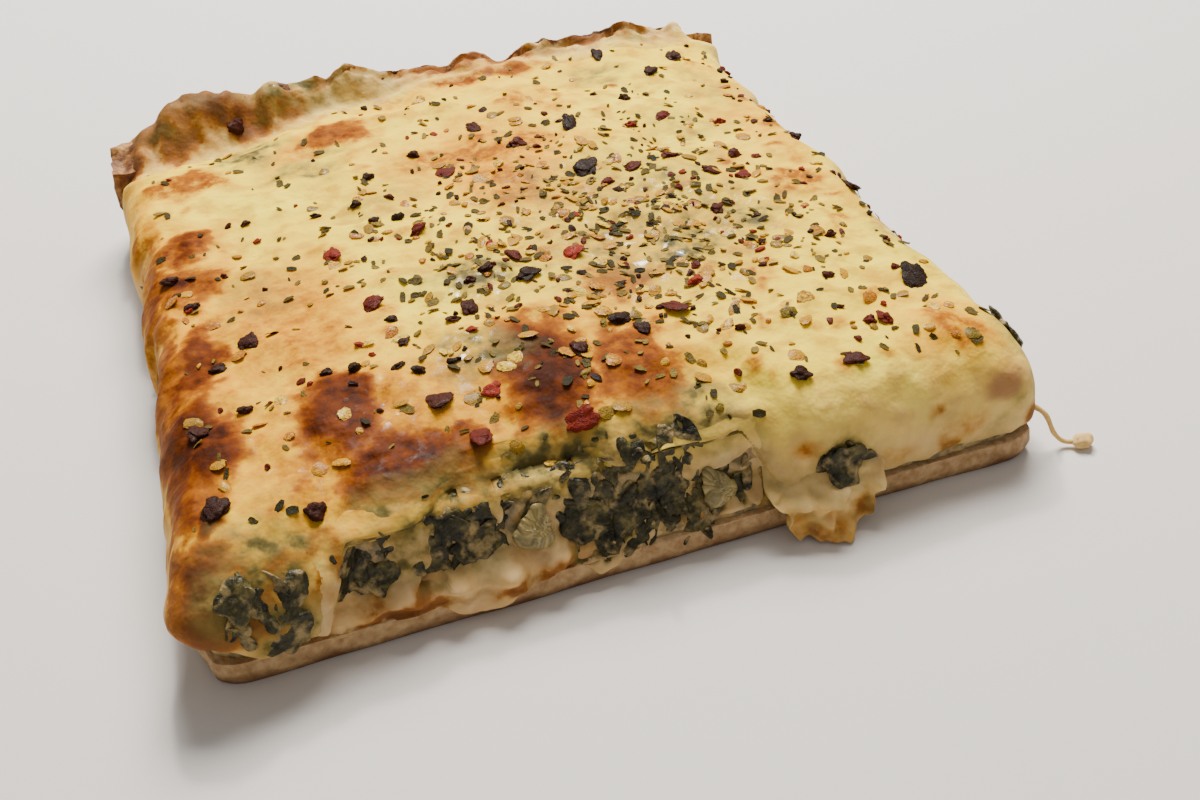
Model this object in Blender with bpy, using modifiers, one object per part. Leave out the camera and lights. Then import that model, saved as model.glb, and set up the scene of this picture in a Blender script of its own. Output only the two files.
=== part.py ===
"""A square cut of pan pizza: thin crust, spinach and artichoke filling, melted cheese.

The front, left and right sides are knife cuts, and the back is the pan side with its lumpy
baked rim. Units are metres. +X runs along the front cut, +Y towards the rim and +Z up. The
origin lies on the flat underside of the crust, in the middle of the cut.
"""

import math
import random

import bmesh
import bpy
from mathutils import Matrix, Vector, noise
from mathutils.bvhtree import BVHTree

MM = 0.001

# Driving sizes of the whole cut
WIDTH = 128 * MM
DEPTH = 133 * MM
CRUST_THICKNESS = 4.2 * MM
FILLING_TOP = 15 * MM
CHEESE_TOP = 21 * MM
CORNER_RADIUS = 6 * MM
GAP = 0.4 * MM

# Baked rim along the back, wide and high at the left corner
RIM_WIDTH_LEFT = 16 * MM
RIM_WIDTH_RIGHT = 4.5 * MM
RIM_RIDGE_LEFT = 27 * MM
RIM_RIDGE_RIGHT = 22.6 * MM
RIM_FOOT = 19.6 * MM
RIM_LUMP = 8 * MM

# How far each cut side leans in over the height of the filling
LEAN_FRONT = 1.0
LEAN_RIGHT = 0.85
LEAN_LEFT = 0.6
FACE_FOOT = 1.6 * MM
FACE_SLOPE = 0.5

# Width of the round shoulder where the cheese turns down, on each side
SHOULDER_FRONT = 13 * MM
SHOULDER_RIGHT = 8.5 * MM
SHOULDER_LEFT = 7 * MM
SHOULDER_BACK = 2 * MM
LIP_HEIGHT = 4.9 * MM
LIP_THICKNESS = 1.5 * MM
LEDGE = 4.4 * MM

# The tongue of cheese that runs down the front cut to the table
TONGUE_X = 27 * MM
TONGUE_HALF_WIDTH = 7.6 * MM

LEAF_THICKNESS = 0.7 * MM
CHEESE_CELLS = 36
CRUST_COLUMNS = 42
FLAKE_SEED = 11
SCATTERED_FLAKES = 16

HALF_W = WIDTH / 2
HALF_D = DEPTH / 2

# Chilli flakes that stand out on the cheese: place (x, y), length and turn
NOTABLE_FLAKES_MM_DEG = (
    (54, -42, 4.8, 80), (17, 10.5, 5.4, 60), (26, -58.5, 3.2, 0), (-6.5, -55.2, 4.6, 10),
    (-20, -52.5, 4.2, 80), (-24, -45, 4.0, 75), (15.5, -36.5, 4.2, 100), (5.5, -16.5, 4.2, 20),
    (-31, 0, 3.6, 95), (-28, -17.5, 3.6, 15), (32.5, 8, 3.2, 45), (37, 0, 3.8, 0),
    (41.5, -3.5, 3.0, 10), (20, 27.5, 4.2, 80), (3, 35.5, 3.4, 90), (6.7, -36.5, 3.2, 0),
    (-1.5, -41.5, 3.2, 90), (-3, -20, 4.2, 25), (33, -12, 3.2, 60), (43.5, -51, 2.8, 60),
    (35, -58, 3.2, 155), (-16, -45, 3.0, 10), (-25.5, -29.5, 2.8, 60), (-3, -12.5, 3.6, 90),
    (42.5, 44, 3.6, 60), (36, 57, 3.8, 80), (-47.5, -19.5, 3.2, 70), (-53, -23, 2.6, 0),
    (25, 8, 3.2, 20), (-6.5, 20.5, 3.6, 40), (8.5, 24, 3.2, 0), (-16, 1, 3.4, 10),
    (51, 53, 3.4, 80), (37.5, 24, 3.2, 0), (-57, -55, 4.0, 60), (-14, -25, 3.6, 80),
    (-44.5, -58, 2.8, 0), (58, -13, 4.2, 70),
)

# Spinach on the cuts: what it lies on, side, place along it, height, length, width, turn
SPINACH_MM_DEG = (
    ("cheese", "front", -57, 15.5, 5.6, 4.8, 60),
    ("cheese", "front", -51.2, 9.6, 8.0, 5.2, 60),
    ("filling", "front", -38.2, 10.6, 7.8, 6.4, 70),
    ("filling", "front", -31.7, 10.6, 7.6, 5.8, 110),
    ("filling", "front", -24.3, 9.8, 7.4, 6.2, 65),
    ("filling", "front", -9.0, 9.2, 8.6, 6.2, 80),
    ("filling", "front", -2.4, 9.4, 8.6, 5.8, 95),
    ("filling", "front", 4.5, 8.8, 7.2, 3.8, 75),
    ("filling", "front", 15.6, 9.0, 5.4, 2.1, 85),
    ("cheese", "front", 29.6, 10.2, 7.6, 5.6, 25),
    ("ledge", "front", -24.4, 0, 6.0, 3.0, 5),
    ("ledge", "front", -17.4, 0, 6.4, 3.4, -6),
    ("ledge", "front", -10.0, 0, 6.4, 3.2, 4),
    ("filling", "left", 14, 9.2, 7.6, 5.4, 95),
    ("filling", "left", -14, 8.8, 7.0, 5.2, 70),
    ("cheese", "right", -54.5, 15.0, 8.0, 6.4, 50),
    ("filling", "right", -31, 9.6, 7.8, 6.4, 85),
    ("filling", "right", -22.5, 9.8, 7.0, 5.6, 60),
    ("filling", "right", 6.5, 9.8, 7.6, 6.0, 110),
    ("filling", "right", 26, 9.8, 7.8, 6.2, 70),
)

# Artichoke wedges on the cuts: side, place along it, height, length and turn
ARTICHOKE_MM_DEG = (
    ("front", -16.4, 10.2, 7.4, 160),
    ("front", 10.6, 8.8, 6.6, 200),
    ("corner", 0, 7.3, 5.6, 95),
    ("right", -14.5, 9.6, 7.2, 170),
    ("right", 16, 9.8, 7.0, 30),
)

# The way from outside onto each side of the cut
INWARDS = {"front": (0, 1, 0), "left": (1, 0, 0), "right": (-1, 0, 0), "corner": (0.707, 0.707, 0)}


def mix(a, b, share):
    """The value that lies a share of the way from a to b."""
    return a + (b - a) * share


def smooth(t):
    """An S-shaped step from 0 to 1 as t goes from 0 to 1."""
    t = min(max(t, 0.0), 1.0)
    return t * t * (3 - 2 * t)


def plateau(value, low, high, blend):
    """1 between low and high, falling to 0 over blend on both sides."""
    return smooth((value - low + blend) / blend) * smooth((high + blend - value) / blend)


def waves(x, y, z, size, seed):
    """Smooth noise between about -1 and 1 with bumps of the given size."""
    return noise.noise(Vector((x / size + seed, y / size - seed, z / size + 0.5 * seed)))


def material(name, colour, roughness):
    """A Principled material of one colour."""
    made = bpy.data.materials.new(name)
    made.use_nodes = True
    shader = made.node_tree.nodes["Principled BSDF"]
    shader.inputs["Base Color"].default_value = (*colour, 1)
    shader.inputs["Roughness"].default_value = roughness
    shader.inputs["Metallic"].default_value = 0
    return made


def add_object(name, mesh, collection, finish):
    """Links a mesh to the collection as a named object with one material."""
    mesh.materials.clear()
    mesh.materials.append(finish)
    mesh.shade_smooth()
    mesh.set_sharp_from_angle(angle=math.radians(50))
    made = bpy.data.objects.new(name, mesh)
    collection.objects.link(made)
    return made


def outlined(u, v, left, right, front, back):
    """Maps a point of the unit square to a rectangle whose corners are rounded."""
    half_x = (right - left) / 2
    half_y = (back - front) / 2
    start_u = 1 - CORNER_RADIUS / half_x
    start_v = 1 - CORNER_RADIUS / half_y
    s = (abs(u) - start_u) / (1 - start_u)
    t = (abs(v) - start_v) / (1 - start_v)
    if s > 0 and t > 0:
        u = math.copysign(mix(start_u, 1, s * math.sqrt(1 - t * t / 2)), u)
        v = math.copysign(mix(start_v, 1, t * math.sqrt(1 - s * s / 2)), v)
    return (left + right) / 2 + u * half_x, (front + back) / 2 + v * half_y


def lofted(name, columns, rows, core, rings, flat_core=False):
    """A grid of points, its border carried on by rings of points, closed by a flat cap.

    core and each ring take a point (u, v) of the unit square and return its place.
    """
    sheet = bmesh.new()
    bmesh.ops.create_grid(sheet, x_segments=columns, y_segments=rows, size=1)
    across = sheet.verts.layers.float.new("across")
    along = sheet.verts.layers.float.new("along")
    for vert in sheet.verts:
        vert[across], vert[along] = vert.co.x, vert.co.y
        vert.co = core(vert.co.x, vert.co.y)
    if flat_core:
        bmesh.ops.dissolve_faces(sheet, faces=sheet.faces[:])
    for ring in rings:
        border = [edge for edge in sheet.edges if edge.is_boundary]
        grown = bmesh.ops.extrude_edge_only(sheet, edges=border)["geom"]
        for vert in (item for item in grown if isinstance(item, bmesh.types.BMVert)):
            vert.co = ring(vert[across], vert[along])
    border = [edge for edge in sheet.edges if edge.is_boundary]
    bmesh.ops.edgeloop_fill(sheet, edges=border)
    bmesh.ops.recalc_face_normals(sheet, faces=sheet.faces[:])
    mesh = bpy.data.meshes.new(name)
    sheet.to_mesh(mesh)
    sheet.free()
    return mesh


def rim_width(x):
    """Width of the rim, which narrows from the left corner."""
    return mix(RIM_WIDTH_LEFT, RIM_WIDTH_RIGHT, smooth((x + HALF_W) / (0.52 * WIDTH)))


def rim_line(x):
    """Where the filling and the cheese meet the rim's inner wall."""
    return HALF_D - rim_width(x)


def crust_place(u, v):
    """Top of the crust: a flat floor, a steep inner wall and the lumpy rim."""
    floor_end, wall_end = -0.2, 0.0
    x = u * HALF_W
    line = rim_line(x)
    if v <= floor_end + 0.01:
        y = mix(-HALF_D, line, (v + 1) / (floor_end + 1))
        z = CRUST_THICKNESS
    else:
        share = (v - wall_end) / (1 - wall_end)
        y = mix(line + 0.6 * MM, HALF_D, share)
        ridge = mix(RIM_RIDGE_LEFT, RIM_RIDGE_RIGHT, smooth((x + 0.65 * HALF_W) / HALF_W))
        ridge -= 8 * MM * smooth((x - 0.82 * HALF_W) / (0.18 * HALF_W))
        ridge -= 6.5 * MM * smooth((-x - 0.76 * HALF_W) / (0.24 * HALF_W))
        lumps = 2.1 * MM * waves(x, y, 0, RIM_LUMP, 3.1)
        lumps += 1.0 * MM * waves(x, y, 0, 0.45 * RIM_LUMP, 7.7)
        z = mix(RIM_FOOT, ridge, smooth(share / 0.6)) - 4.2 * MM * smooth((share - 0.6) / 0.4)
        z += lumps * mix(0.3, 1, smooth(share * 3))
    x, y = outlined(u, y / HALF_D, -HALF_W, HALF_W, -HALF_D, HALF_D)
    return Vector((x, y, z))


def crust_ring(height_share, out):
    """One loop round the crust's edge at a share of its height, pushed out or in."""

    def place(u, v):
        top = crust_place(u, v)
        lengthwise = max(abs(top.x) - HALF_W + CORNER_RADIUS, 0) * math.copysign(1, top.x)
        crosswise = max(abs(top.y) - HALF_D + CORNER_RADIUS, 0) * math.copysign(1, top.y)
        outward = Vector((lengthwise, crosswise, 0)).normalized()
        wobble = 0.35 * MM * waves(top.x, top.y, top.z * height_share, 9 * MM, 5.3)
        flat = Vector((top.x, top.y, top.z * height_share))
        return flat + outward * (out + wobble)

    return place


def face_inset(height):
    """How far in from the outline the filling's cut face lies at a height, at full lean."""
    return FACE_FOOT + FACE_SLOPE * (height - CRUST_THICKNESS - GAP)


def filling_ring(height, dent, chamfer=0):
    """One loop round the filling at a height, dented inwards by gentle waves."""

    def place(u, v):
        inset = face_inset(height) + chamfer
        waved = dent * (1 + waves(u * HALF_W, v * HALF_D, height, 11 * MM, 9.2))
        left = -HALF_W + LEAN_LEFT * inset + waved
        right = HALF_W - LEAN_RIGHT * inset - waved
        front = -HALF_D + LEAN_FRONT * inset + waved
        back = rim_line(u * HALF_W) - GAP
        return Vector((*outlined(u, v, left, right, front, back), height))

    return place


def nominal(u, v):
    """Where a point of the unit square lies on the cut's outline in front of the rim."""
    x = u * HALF_W
    return x, mix(-HALF_D, rim_line(x), (v + 1) / 2)


def front_window(x):
    """Share of the front cut's window, where the cheese stops short and the filling shows."""
    return plateau(x, -42 * MM, 17 * MM, 4.5 * MM)


def cheese_top(x, y):
    """Height of the cheese over the middle of the cut, with its slumps and blisters."""
    hump = 1.5 * MM * math.cos(x / HALF_W * 1.4) * math.cos(y / HALF_D * 1.3)
    slumps = 1.3 * MM * waves(x, y, 0, 30 * MM, 1.7)
    blisters = 0.8 * MM * waves(x, y, 0, 10 * MM, 4.4) + 0.4 * MM * waves(x, y, 0, 5 * MM, 8.1)
    to_rim = max(rim_line(x) - y, 0)
    valley = 1.6 * MM * math.exp(-((to_rim / (7 * MM)) ** 2)) * smooth((10 * MM - x) / HALF_W)
    droop = 3.4 * MM * smooth((x - 0.6 * HALF_W) / (0.4 * HALF_W)) * smooth((y - 20 * MM) / (30 * MM))
    from_front = (y + HALF_D - 11 * MM) / (9 * MM)
    sag = 2.2 * MM * front_window(x) * math.exp(-(from_front ** 2))
    return CHEESE_TOP + hump + slumps + blisters - valley - droop - sag


def drape(u, v):
    """How fully the cheese hangs over a side: 1 down to the crust, 0 short of the filling."""
    x, y = nominal(u, v)
    ragged = 0.2 * waves(x, y, 0, 7 * MM, 6.6)
    if abs(v) >= abs(u) and v < 0:
        opened = front_window(x)
    elif u > 0:
        opened = plateau(y, -36 * MM, -9 * MM, 6 * MM) + plateau(y, 2 * MM, 31 * MM, 6 * MM)
    else:
        opened = plateau(y, 9 * MM, 19 * MM, 6 * MM) + plateau(y, -19 * MM, -9 * MM, 6 * MM)
    return min(max(1 - opened + ragged * (1 - opened), 0), 1)


def ledge(u, v):
    """How far in from the filling's top edge the cheese stops, inside the front window."""
    x = u * HALF_W
    front = smooth((-0.9 - v) / 0.08)
    return front * LEDGE * plateau(x, -27 * MM, -8 * MM, 7 * MM)


def corner_bulge(u, v):
    """How much of a point of the border belongs to the swollen front left corner."""
    x, y = nominal(u, v)
    return math.exp(-((math.hypot(x + HALF_W, y + HALF_D) / (26 * MM)) ** 2))


def cheese_core(u, v):
    """Top sheet of the cheese, inside the round shoulders."""
    x, y = outlined(u, v, -HALF_W + SHOULDER_LEFT, HALF_W - SHOULDER_RIGHT,
                    -HALF_D + SHOULDER_FRONT, rim_line(u * HALF_W) - SHOULDER_BACK)
    return Vector((x, y, cheese_top(x, y)))


def cheese_ring(full_share, full_drop, short_share, short_drop, back_share, back_drop, swell):
    """One loop of the outer skin of the hanging cheese.

    The shares say how much of the shoulder's width is left at the loop, where the cheese
    hangs full length, where it stops short and along the rim. The drops, from 0 at the top
    to 1 at the lip, say how far down the loop lies, and swell scales the corner's bulge.
    """

    def place(u, v):
        full = drape(u, v)
        bulge = corner_bulge(u, v)
        out = 3.4 * MM * bulge * swell
        out += 0.35 * MM * waves(u * HALF_W, v * HALF_D, 12 * MM * full_drop, 8 * MM, 2.2)
        insets = []
        for shoulder, lean in ((SHOULDER_LEFT, LEAN_LEFT), (SHOULDER_RIGHT, LEAN_RIGHT),
                               (SHOULDER_FRONT, LEAN_FRONT)):
            edge = lean * face_inset(FILLING_TOP) - GAP - LIP_THICKNESS + ledge(u, v)
            insets.append(mix(mix(edge, shoulder, short_share), shoulder * full_share, full) - out)
        left, right, front = insets
        back = rim_line(u * HALF_W) - mix(GAP, SHOULDER_BACK, back_share)
        x, y = outlined(u, v, -HALF_W + left, HALF_W - right, -HALF_D + front, back)
        top = cheese_core(u, v).z
        lip = LIP_HEIGHT + 0.6 * MM * (1 + waves(u * HALF_W, v * HALF_D, 0, 6 * MM, 3.9))
        lip += 5.6 * MM * smooth((bulge - 0.86) / 0.12)
        hang = mix(mix(top, FILLING_TOP + GAP + 0.3 * MM, short_drop), mix(top, lip, full_drop), full)
        at_rim = smooth((v - 0.9) / 0.08)
        return Vector((x, y, mix(hang, mix(top, FILLING_TOP + GAP, back_drop), at_rim)))

    return place


def cheese_inside(rise, back_drop):
    """One loop of the inner skin: from the lip up the filling's cut face, then inwards."""

    def place(u, v):
        top = FILLING_TOP + GAP
        deep = top - LIP_HEIGHT - 1.7 * MM - 5.6 * MM * smooth((corner_bulge(u, v) - 0.86) / 0.12)
        lip = mix(-ledge(u, v), deep, drape(u, v))
        step = lip * (1 - rise) if lip > 0 else lip - 0.6 * MM * rise
        down, inwards = max(step, 0), max(-step, 0)
        insets = [lean * face_inset(top - down) - GAP - 0.1 * MM + inwards
                  for lean in (LEAN_LEFT, LEAN_RIGHT, LEAN_FRONT)]
        left, right, front = insets
        back = rim_line(u * HALF_W) - GAP - 0.1 * MM
        x, y = outlined(u, v, -HALF_W + left, HALF_W - right, -HALF_D + front, back)
        at_rim = smooth((v - 0.9) / 0.08)
        core = cheese_core(u, v).z
        return Vector((x, y, mix(top - down, mix(core, top, back_drop), at_rim)))

    return place


def make_crust(collection, finish):
    """Crust floor and baked rim, one piece of dough."""
    rings = (crust_ring(0.8, 0.3 * MM), crust_ring(0.25, 0.3 * MM), crust_ring(0, -0.3 * MM))
    mesh = lofted("crust", CRUST_COLUMNS, 10, crust_place, rings)
    return add_object("crust", mesh, collection, finish)


def make_filling(collection, finish):
    """Creamy filling, a slab between the crust and the cheese with leaning cut faces."""
    bottom = CRUST_THICKNESS + GAP
    rings = [filling_ring(mix(FILLING_TOP, bottom, share), dent)
             for share, dent in ((0.08, 0), (0.5, 0.2 * MM), (1, 0.1 * MM))]
    top = filling_ring(FILLING_TOP, 0, chamfer=1.2 * MM)
    mesh = lofted("filling", 28, 22, top, rings, flat_core=True)
    return add_object("filling", mesh, collection, finish)


def make_flake(length, turn, draw):
    """A rough shard of dried chilli, about 1 mm thick, at the origin."""
    shard = bmesh.new()
    bmesh.ops.create_icosphere(shard, subdivisions=1, radius=0.5)
    for vert in shard.verts:
        vert.co *= draw.uniform(0.8, 1.15)
    size = (length, length * draw.uniform(0.55, 0.85), draw.uniform(1.0, 1.4) * MM)
    bmesh.ops.transform(shard, matrix=Matrix.Diagonal((*size, 1)), verts=shard.verts[:])
    tilt = Matrix.Rotation(draw.uniform(-0.3, 0.3), 4, "Y") @ Matrix.Rotation(draw.uniform(-0.3, 0.3), 4, "X")
    bmesh.ops.transform(shard, matrix=Matrix.Rotation(turn, 4, "Z") @ tilt, verts=shard.verts[:])
    mesh = bpy.data.meshes.new("flake")
    shard.to_mesh(mesh)
    shard.free()
    return bpy.data.objects.new("flake", mesh)


def flake_places(draw):
    """Places, lengths and turns of the chilli flakes, the largest first."""
    places = [(x * MM, y * MM, length * MM, math.radians(turn))
              for x, y, length, turn in NOTABLE_FLAKES_MM_DEG]
    while len(places) < len(NOTABLE_FLAKES_MM_DEG) + SCATTERED_FLAKES:
        x = draw.gauss(8 * MM, 30 * MM)
        y = draw.gauss(-8 * MM, 30 * MM)
        length = draw.uniform(2.0, 3.2) * MM
        inside = abs(x) < HALF_W - 13 * MM and -HALF_D + 12 * MM < y < rim_line(x) - 8 * MM
        if inside and all(math.hypot(x - p[0], y - p[1]) > 5 * MM for p in places):
            places.append((x, y, length, draw.uniform(0, math.pi)))
    return places


def make_strand():
    """The thread of cheese and its blob that trail from the front right corner."""
    route = ((61.5, -61.5, 7.5), (64.6, -64.6, 6.2), (66.2, -66, 2.6), (67.8, -66.8, 1), (70, -67.8, 1.1))
    curve = bpy.data.curves.new("strand", "CURVE")
    curve.dimensions = "3D"
    curve.bevel_depth = 0.45 * MM
    curve.bevel_resolution = 1
    curve.use_fill_caps = True
    line = curve.splines.new("POLY")
    line.points.add(len(route) - 1)
    for point, place in zip(line.points, route):
        point.co = (*(Vector(place) * MM), 1)
    guide = bpy.data.objects.new("strand", curve)
    bpy.context.scene.collection.objects.link(guide)
    graph = bpy.context.evaluated_depsgraph_get()
    thread = bmesh.new()
    thread.from_mesh(bpy.data.meshes.new_from_object(guide.evaluated_get(graph)))
    bmesh.ops.remove_doubles(thread, verts=thread.verts[:], dist=0.01 * MM)
    bpy.data.objects.remove(guide)
    mesh = bpy.data.meshes.new("strand")
    thread.to_mesh(mesh)
    thread.free()
    ball = bmesh.new()
    size = Matrix.Diagonal((3.4 * MM, 2.6 * MM, 2.1 * MM, 1))
    place = Matrix.Translation(Vector((70.4, -68, 1.15)) * MM) @ size
    bmesh.ops.create_icosphere(ball, subdivisions=2, radius=0.5, matrix=place)
    blob = bpy.data.meshes.new("blob")
    ball.to_mesh(blob)
    ball.free()
    return [bpy.data.objects.new("strand", mesh), bpy.data.objects.new("blob", blob)]


def tongue_place(a, b, outer):
    """A point of the tongue: a from edge to edge, b from its root to its tip."""
    length = 1 - 0.16 * a * a + 0.07 * waves(a * TONGUE_HALF_WIDTH, 0, 0, 3 * MM, 1.2)
    down = b * length
    width = TONGUE_HALF_WIDTH * mix(1.5, 0.9, smooth(down / 0.7)) * (1 - 0.35 * max(b - 0.7, 0) ** 2 / 0.09)
    z = mix(12.5 * MM, 0.1 * MM, down)
    forward = mix(-2.6, 2.9, smooth(down / 0.66)) + 2.4 * max(down - 0.66, 0) / 0.34
    bulge = 1.1 * (1 - a * a) * math.sin(math.pi * min(down * 1.1, 1))
    thickness = 1.9 * (1 - 0.75 * a ** 4)
    y = -HALF_D - (forward + bulge - (0 if outer else thickness + 0.6 * bulge)) * MM
    x = TONGUE_X + 2.2 * MM * (1 - 2 * down) + a * width + 0.5 * MM * waves(a, b, 0, 0.5, 3)
    return Vector((x, y, z))


def make_tongue():
    """The tongue of cheese, a thick flap that bends over the crust's edge."""
    flap = bmesh.new()
    bmesh.ops.create_grid(flap, x_segments=8, y_segments=8, size=1)
    across = flap.verts.layers.float.new("across")
    along = flap.verts.layers.float.new("along")
    for vert in flap.verts:
        vert[across], vert[along] = vert.co.x, (1 - vert.co.y) / 2
    front = bmesh.ops.extrude_face_region(flap, geom=flap.faces[:])["geom"]
    front = {item for item in front if isinstance(item, bmesh.types.BMVert)}
    for vert in flap.verts:
        vert.co = tongue_place(vert[across], vert[along], vert in front)
    bmesh.ops.recalc_face_normals(flap, faces=flap.faces[:])
    mesh = bpy.data.meshes.new("tongue")
    flap.to_mesh(mesh)
    flap.free()
    return bpy.data.objects.new("tongue", mesh)


def fuse(target, pieces):
    """Joins the pieces to the target by one Boolean union and removes them."""
    group = bpy.data.collections.new("fused")
    bpy.context.scene.collection.children.link(group)
    for piece in pieces:
        group.objects.link(piece)
    union = target.modifiers.new("fuse", "BOOLEAN")
    union.operation = "UNION"
    union.operand_type = "COLLECTION"
    union.collection = group
    union.solver = "EXACT"
    graph = bpy.context.evaluated_depsgraph_get()
    joined = bpy.data.meshes.new_from_object(target.evaluated_get(graph))
    target.modifiers.clear()
    target.data = joined
    for piece in pieces:
        bpy.data.objects.remove(piece)
    bpy.data.collections.remove(group)


def surface_tree(target):
    """Search tree of an object's faces, for casting rays onto it."""
    return BVHTree.FromObject(target, bpy.context.evaluated_depsgraph_get())


def make_cheese(collection, finish):
    """Melted cheese over the filling, with its hanging sides, tongue, thread and flakes."""
    skin = (
        cheese_ring(0.62, 0.06, 0.76, 0.07, 0.45, 0.08, 0.0),
        cheese_ring(0.29, 0.21, 0.50, 0.22, 0.15, 0.20, 0.1),
        cheese_ring(0.06, 0.44, 0.26, 0.45, 0.06, 0.40, 0.3),
        cheese_ring(0.00, 0.74, 0.08, 0.75, 0.05, 0.60, 0.7),
        cheese_ring(0.02, 1.00, 0.00, 1.00, 0.05, 0.75, 0.6),
    )
    inside = (cheese_inside(0.0, 0.84), cheese_inside(0.5, 0.92), cheese_inside(1.0, 1.0))
    mesh = lofted("cheese", CHEESE_CELLS, CHEESE_CELLS, cheese_core, skin + inside)
    cheese = add_object("cheese", mesh, collection, finish)
    draw = random.Random(FLAKE_SEED)
    skin_tree = surface_tree(cheese)
    fused = []
    for x, y, length, turn in flake_places(draw):
        place, normal = skin_tree.ray_cast(Vector((x, y, 2 * CHEESE_TOP)), Vector((0, 0, -1)))[:2]
        flake = make_flake(length, turn, draw)
        lean = Vector((0, 0, 1)).rotation_difference(normal).to_matrix().to_4x4()
        flake.matrix_world = Matrix.Translation(place + normal * 0.15 * MM) @ lean
        fused.append(flake)
    fuse(cheese, fused + [make_tongue()] + make_strand())
    return cheese


def frame_on(tree, side, along, height):
    """Matrix of a point on a side: X along it, Y up the surface and Z out of it."""
    into = Vector(INWARDS[side])
    sideways = Vector((0, 0, 1)).cross(-into)
    if side == "corner":
        start = Vector((-HALF_W, -HALF_D, height)) - into * 0.1
    elif side == "front":
        start = Vector((along, 0, height)) - into * 0.2
    else:
        start = Vector((0, along, height)) - into * 0.2
    place, normal = tree.ray_cast(start, into)[:2]
    normal = (normal - sideways * normal.dot(sideways)).normalized()
    axes = Matrix((sideways, normal.cross(sideways), normal)).transposed().to_4x4()
    return Matrix.Translation(place) @ axes


def ledge_frame(along):
    """Matrix of a point on the filling's top edge, tilted like a leaf that lies over it."""
    place = Vector((along, -HALF_D + face_inset(FILLING_TOP) - 0.2 * MM, FILLING_TOP))
    return Matrix.Translation(place) @ Matrix.Rotation(math.radians(28), 4, "X")


def make_spinach(number, spec, trees, collection, finish):
    """One crumpled spinach leaf on a cut: a thin wavy sheet that follows what it lies on."""
    ground, side, along, height, length, width, turn = spec
    if ground == "ledge":
        frame = ledge_frame(along * MM)
    else:
        frame = frame_on(trees[ground], side, along * MM, height * MM)
    frame = frame @ Matrix.Rotation(math.radians(turn), 4, "Z")
    below = trees["cheese" if ground == "cheese" else "filling"]
    inwards = -frame.col[2].to_3d()
    sheet = bmesh.new()
    bmesh.ops.create_grid(sheet, x_segments=5, y_segments=4, size=1)
    for vert in sheet.verts:
        u, v = vert.co.x, vert.co.y
        x = u * math.sqrt(1 - v * v / 2) * length / 2 * MM
        y = v * math.sqrt(1 - u * u / 2) * width / 2 * MM * (1 - 0.25 * u)
        ragged = 1 + 0.36 * waves(x, y, number * MM, 1.9 * MM, number)
        crumple = 0.5 * MM * (1 + waves(x, y, number * MM, 2.8 * MM, 2 * number))
        point = frame @ Vector((x * ragged, y * ragged, 0))
        hit = below.ray_cast(point - inwards * 8 * MM, inwards)[0]
        surface = hit if hit and (hit - point).length < 4 * MM else point
        vert.co = surface - inwards * (GAP + 0.1 * MM + crumple)
    bmesh.ops.triangulate(sheet, faces=sheet.faces[:])
    bmesh.ops.recalc_face_normals(sheet, faces=sheet.faces[:])
    if sum((face.normal.dot(inwards) for face in sheet.faces)) > 0:
        bmesh.ops.reverse_faces(sheet, faces=sheet.faces[:])
    mesh = bpy.data.meshes.new("spinach")
    sheet.to_mesh(mesh)
    sheet.free()
    leaf = add_object(f"spinach_leaf_{number:02d}", mesh, collection, finish)
    wall = leaf.modifiers.new("thickness", "SOLIDIFY")
    wall.thickness = LEAF_THICKNESS
    wall.offset = 1
    return leaf


def make_artichoke(number, spec, filling, collection, finish):
    """A wedge of artichoke heart: overlapping scales turned round its axis, then flattened."""
    side, along, height, length, turn = spec
    scales = ((0, 0.5), (0.16, 0.40), (0.24, 0.18), (0.32, 0.14), (0.36, -0.08),
              (0.46, -0.12), (0.42, -0.38), (0, -0.5))
    profile = bmesh.new()
    verts = [profile.verts.new((radius * length * MM, 0, z * length * MM)) for radius, z in scales]
    for first, second in zip(verts, verts[1:]):
        profile.edges.new((first, second))
    bmesh.ops.spin(profile, geom=profile.verts[:] + profile.edges[:], cent=(0, 0, 0), axis=(0, 0, 1),
                   angle=2 * math.pi, steps=9, use_merge=True)
    bmesh.ops.remove_doubles(profile, verts=profile.verts[:], dist=0.01 * MM)
    bmesh.ops.recalc_face_normals(profile, faces=profile.faces[:])
    mesh = bpy.data.meshes.new("artichoke")
    profile.to_mesh(mesh)
    profile.free()
    flatness = 0.8 if side == "corner" else 0.36
    mesh.transform(Matrix.Diagonal((1, 1, flatness, 1)) @ Matrix.Rotation(math.pi / 2, 4, "X"))
    half_thickness = flatness * 0.47 * length * MM
    wedge = add_object(f"artichoke_wedge_{number:02d}", mesh, collection, finish)
    wedge.matrix_world = (frame_on(filling, side, along * MM, height * MM)
                          @ Matrix.Translation((0, 0, half_thickness + GAP + 0.1 * MM))
                          @ Matrix.Rotation(math.radians(turn), 4, "Z"))
    return wedge


def main():
    """Builds the cut of pizza."""
    for leftover in list(bpy.data.objects):
        bpy.data.objects.remove(leftover)
    collection = bpy.data.collections.new("spinach_artichoke_pizza")
    bpy.context.scene.collection.children.link(collection)
    baked_dough = material("baked_dough", (0.52, 0.30, 0.12), 0.75)
    creamy_filling = material("creamy_filling", (0.62, 0.52, 0.30), 0.5)
    melted_cheese = material("melted_cheese", (0.82, 0.68, 0.36), 0.35)
    cooked_spinach = material("cooked_spinach", (0.05, 0.07, 0.03), 0.4)
    artichoke_heart = material("artichoke_heart", (0.55, 0.50, 0.24), 0.5)

    make_crust(collection, baked_dough)
    trees = {"filling": surface_tree(make_filling(collection, creamy_filling)),
             "cheese": surface_tree(make_cheese(collection, melted_cheese))}
    for number, spec in enumerate(SPINACH_MM_DEG, start=1):
        make_spinach(number, spec, trees, collection, cooked_spinach)
    for number, spec in enumerate(ARTICHOKE_MM_DEG, start=1):
        make_artichoke(number, spec, trees["filling"], collection, artichoke_heart)


main()
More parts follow.
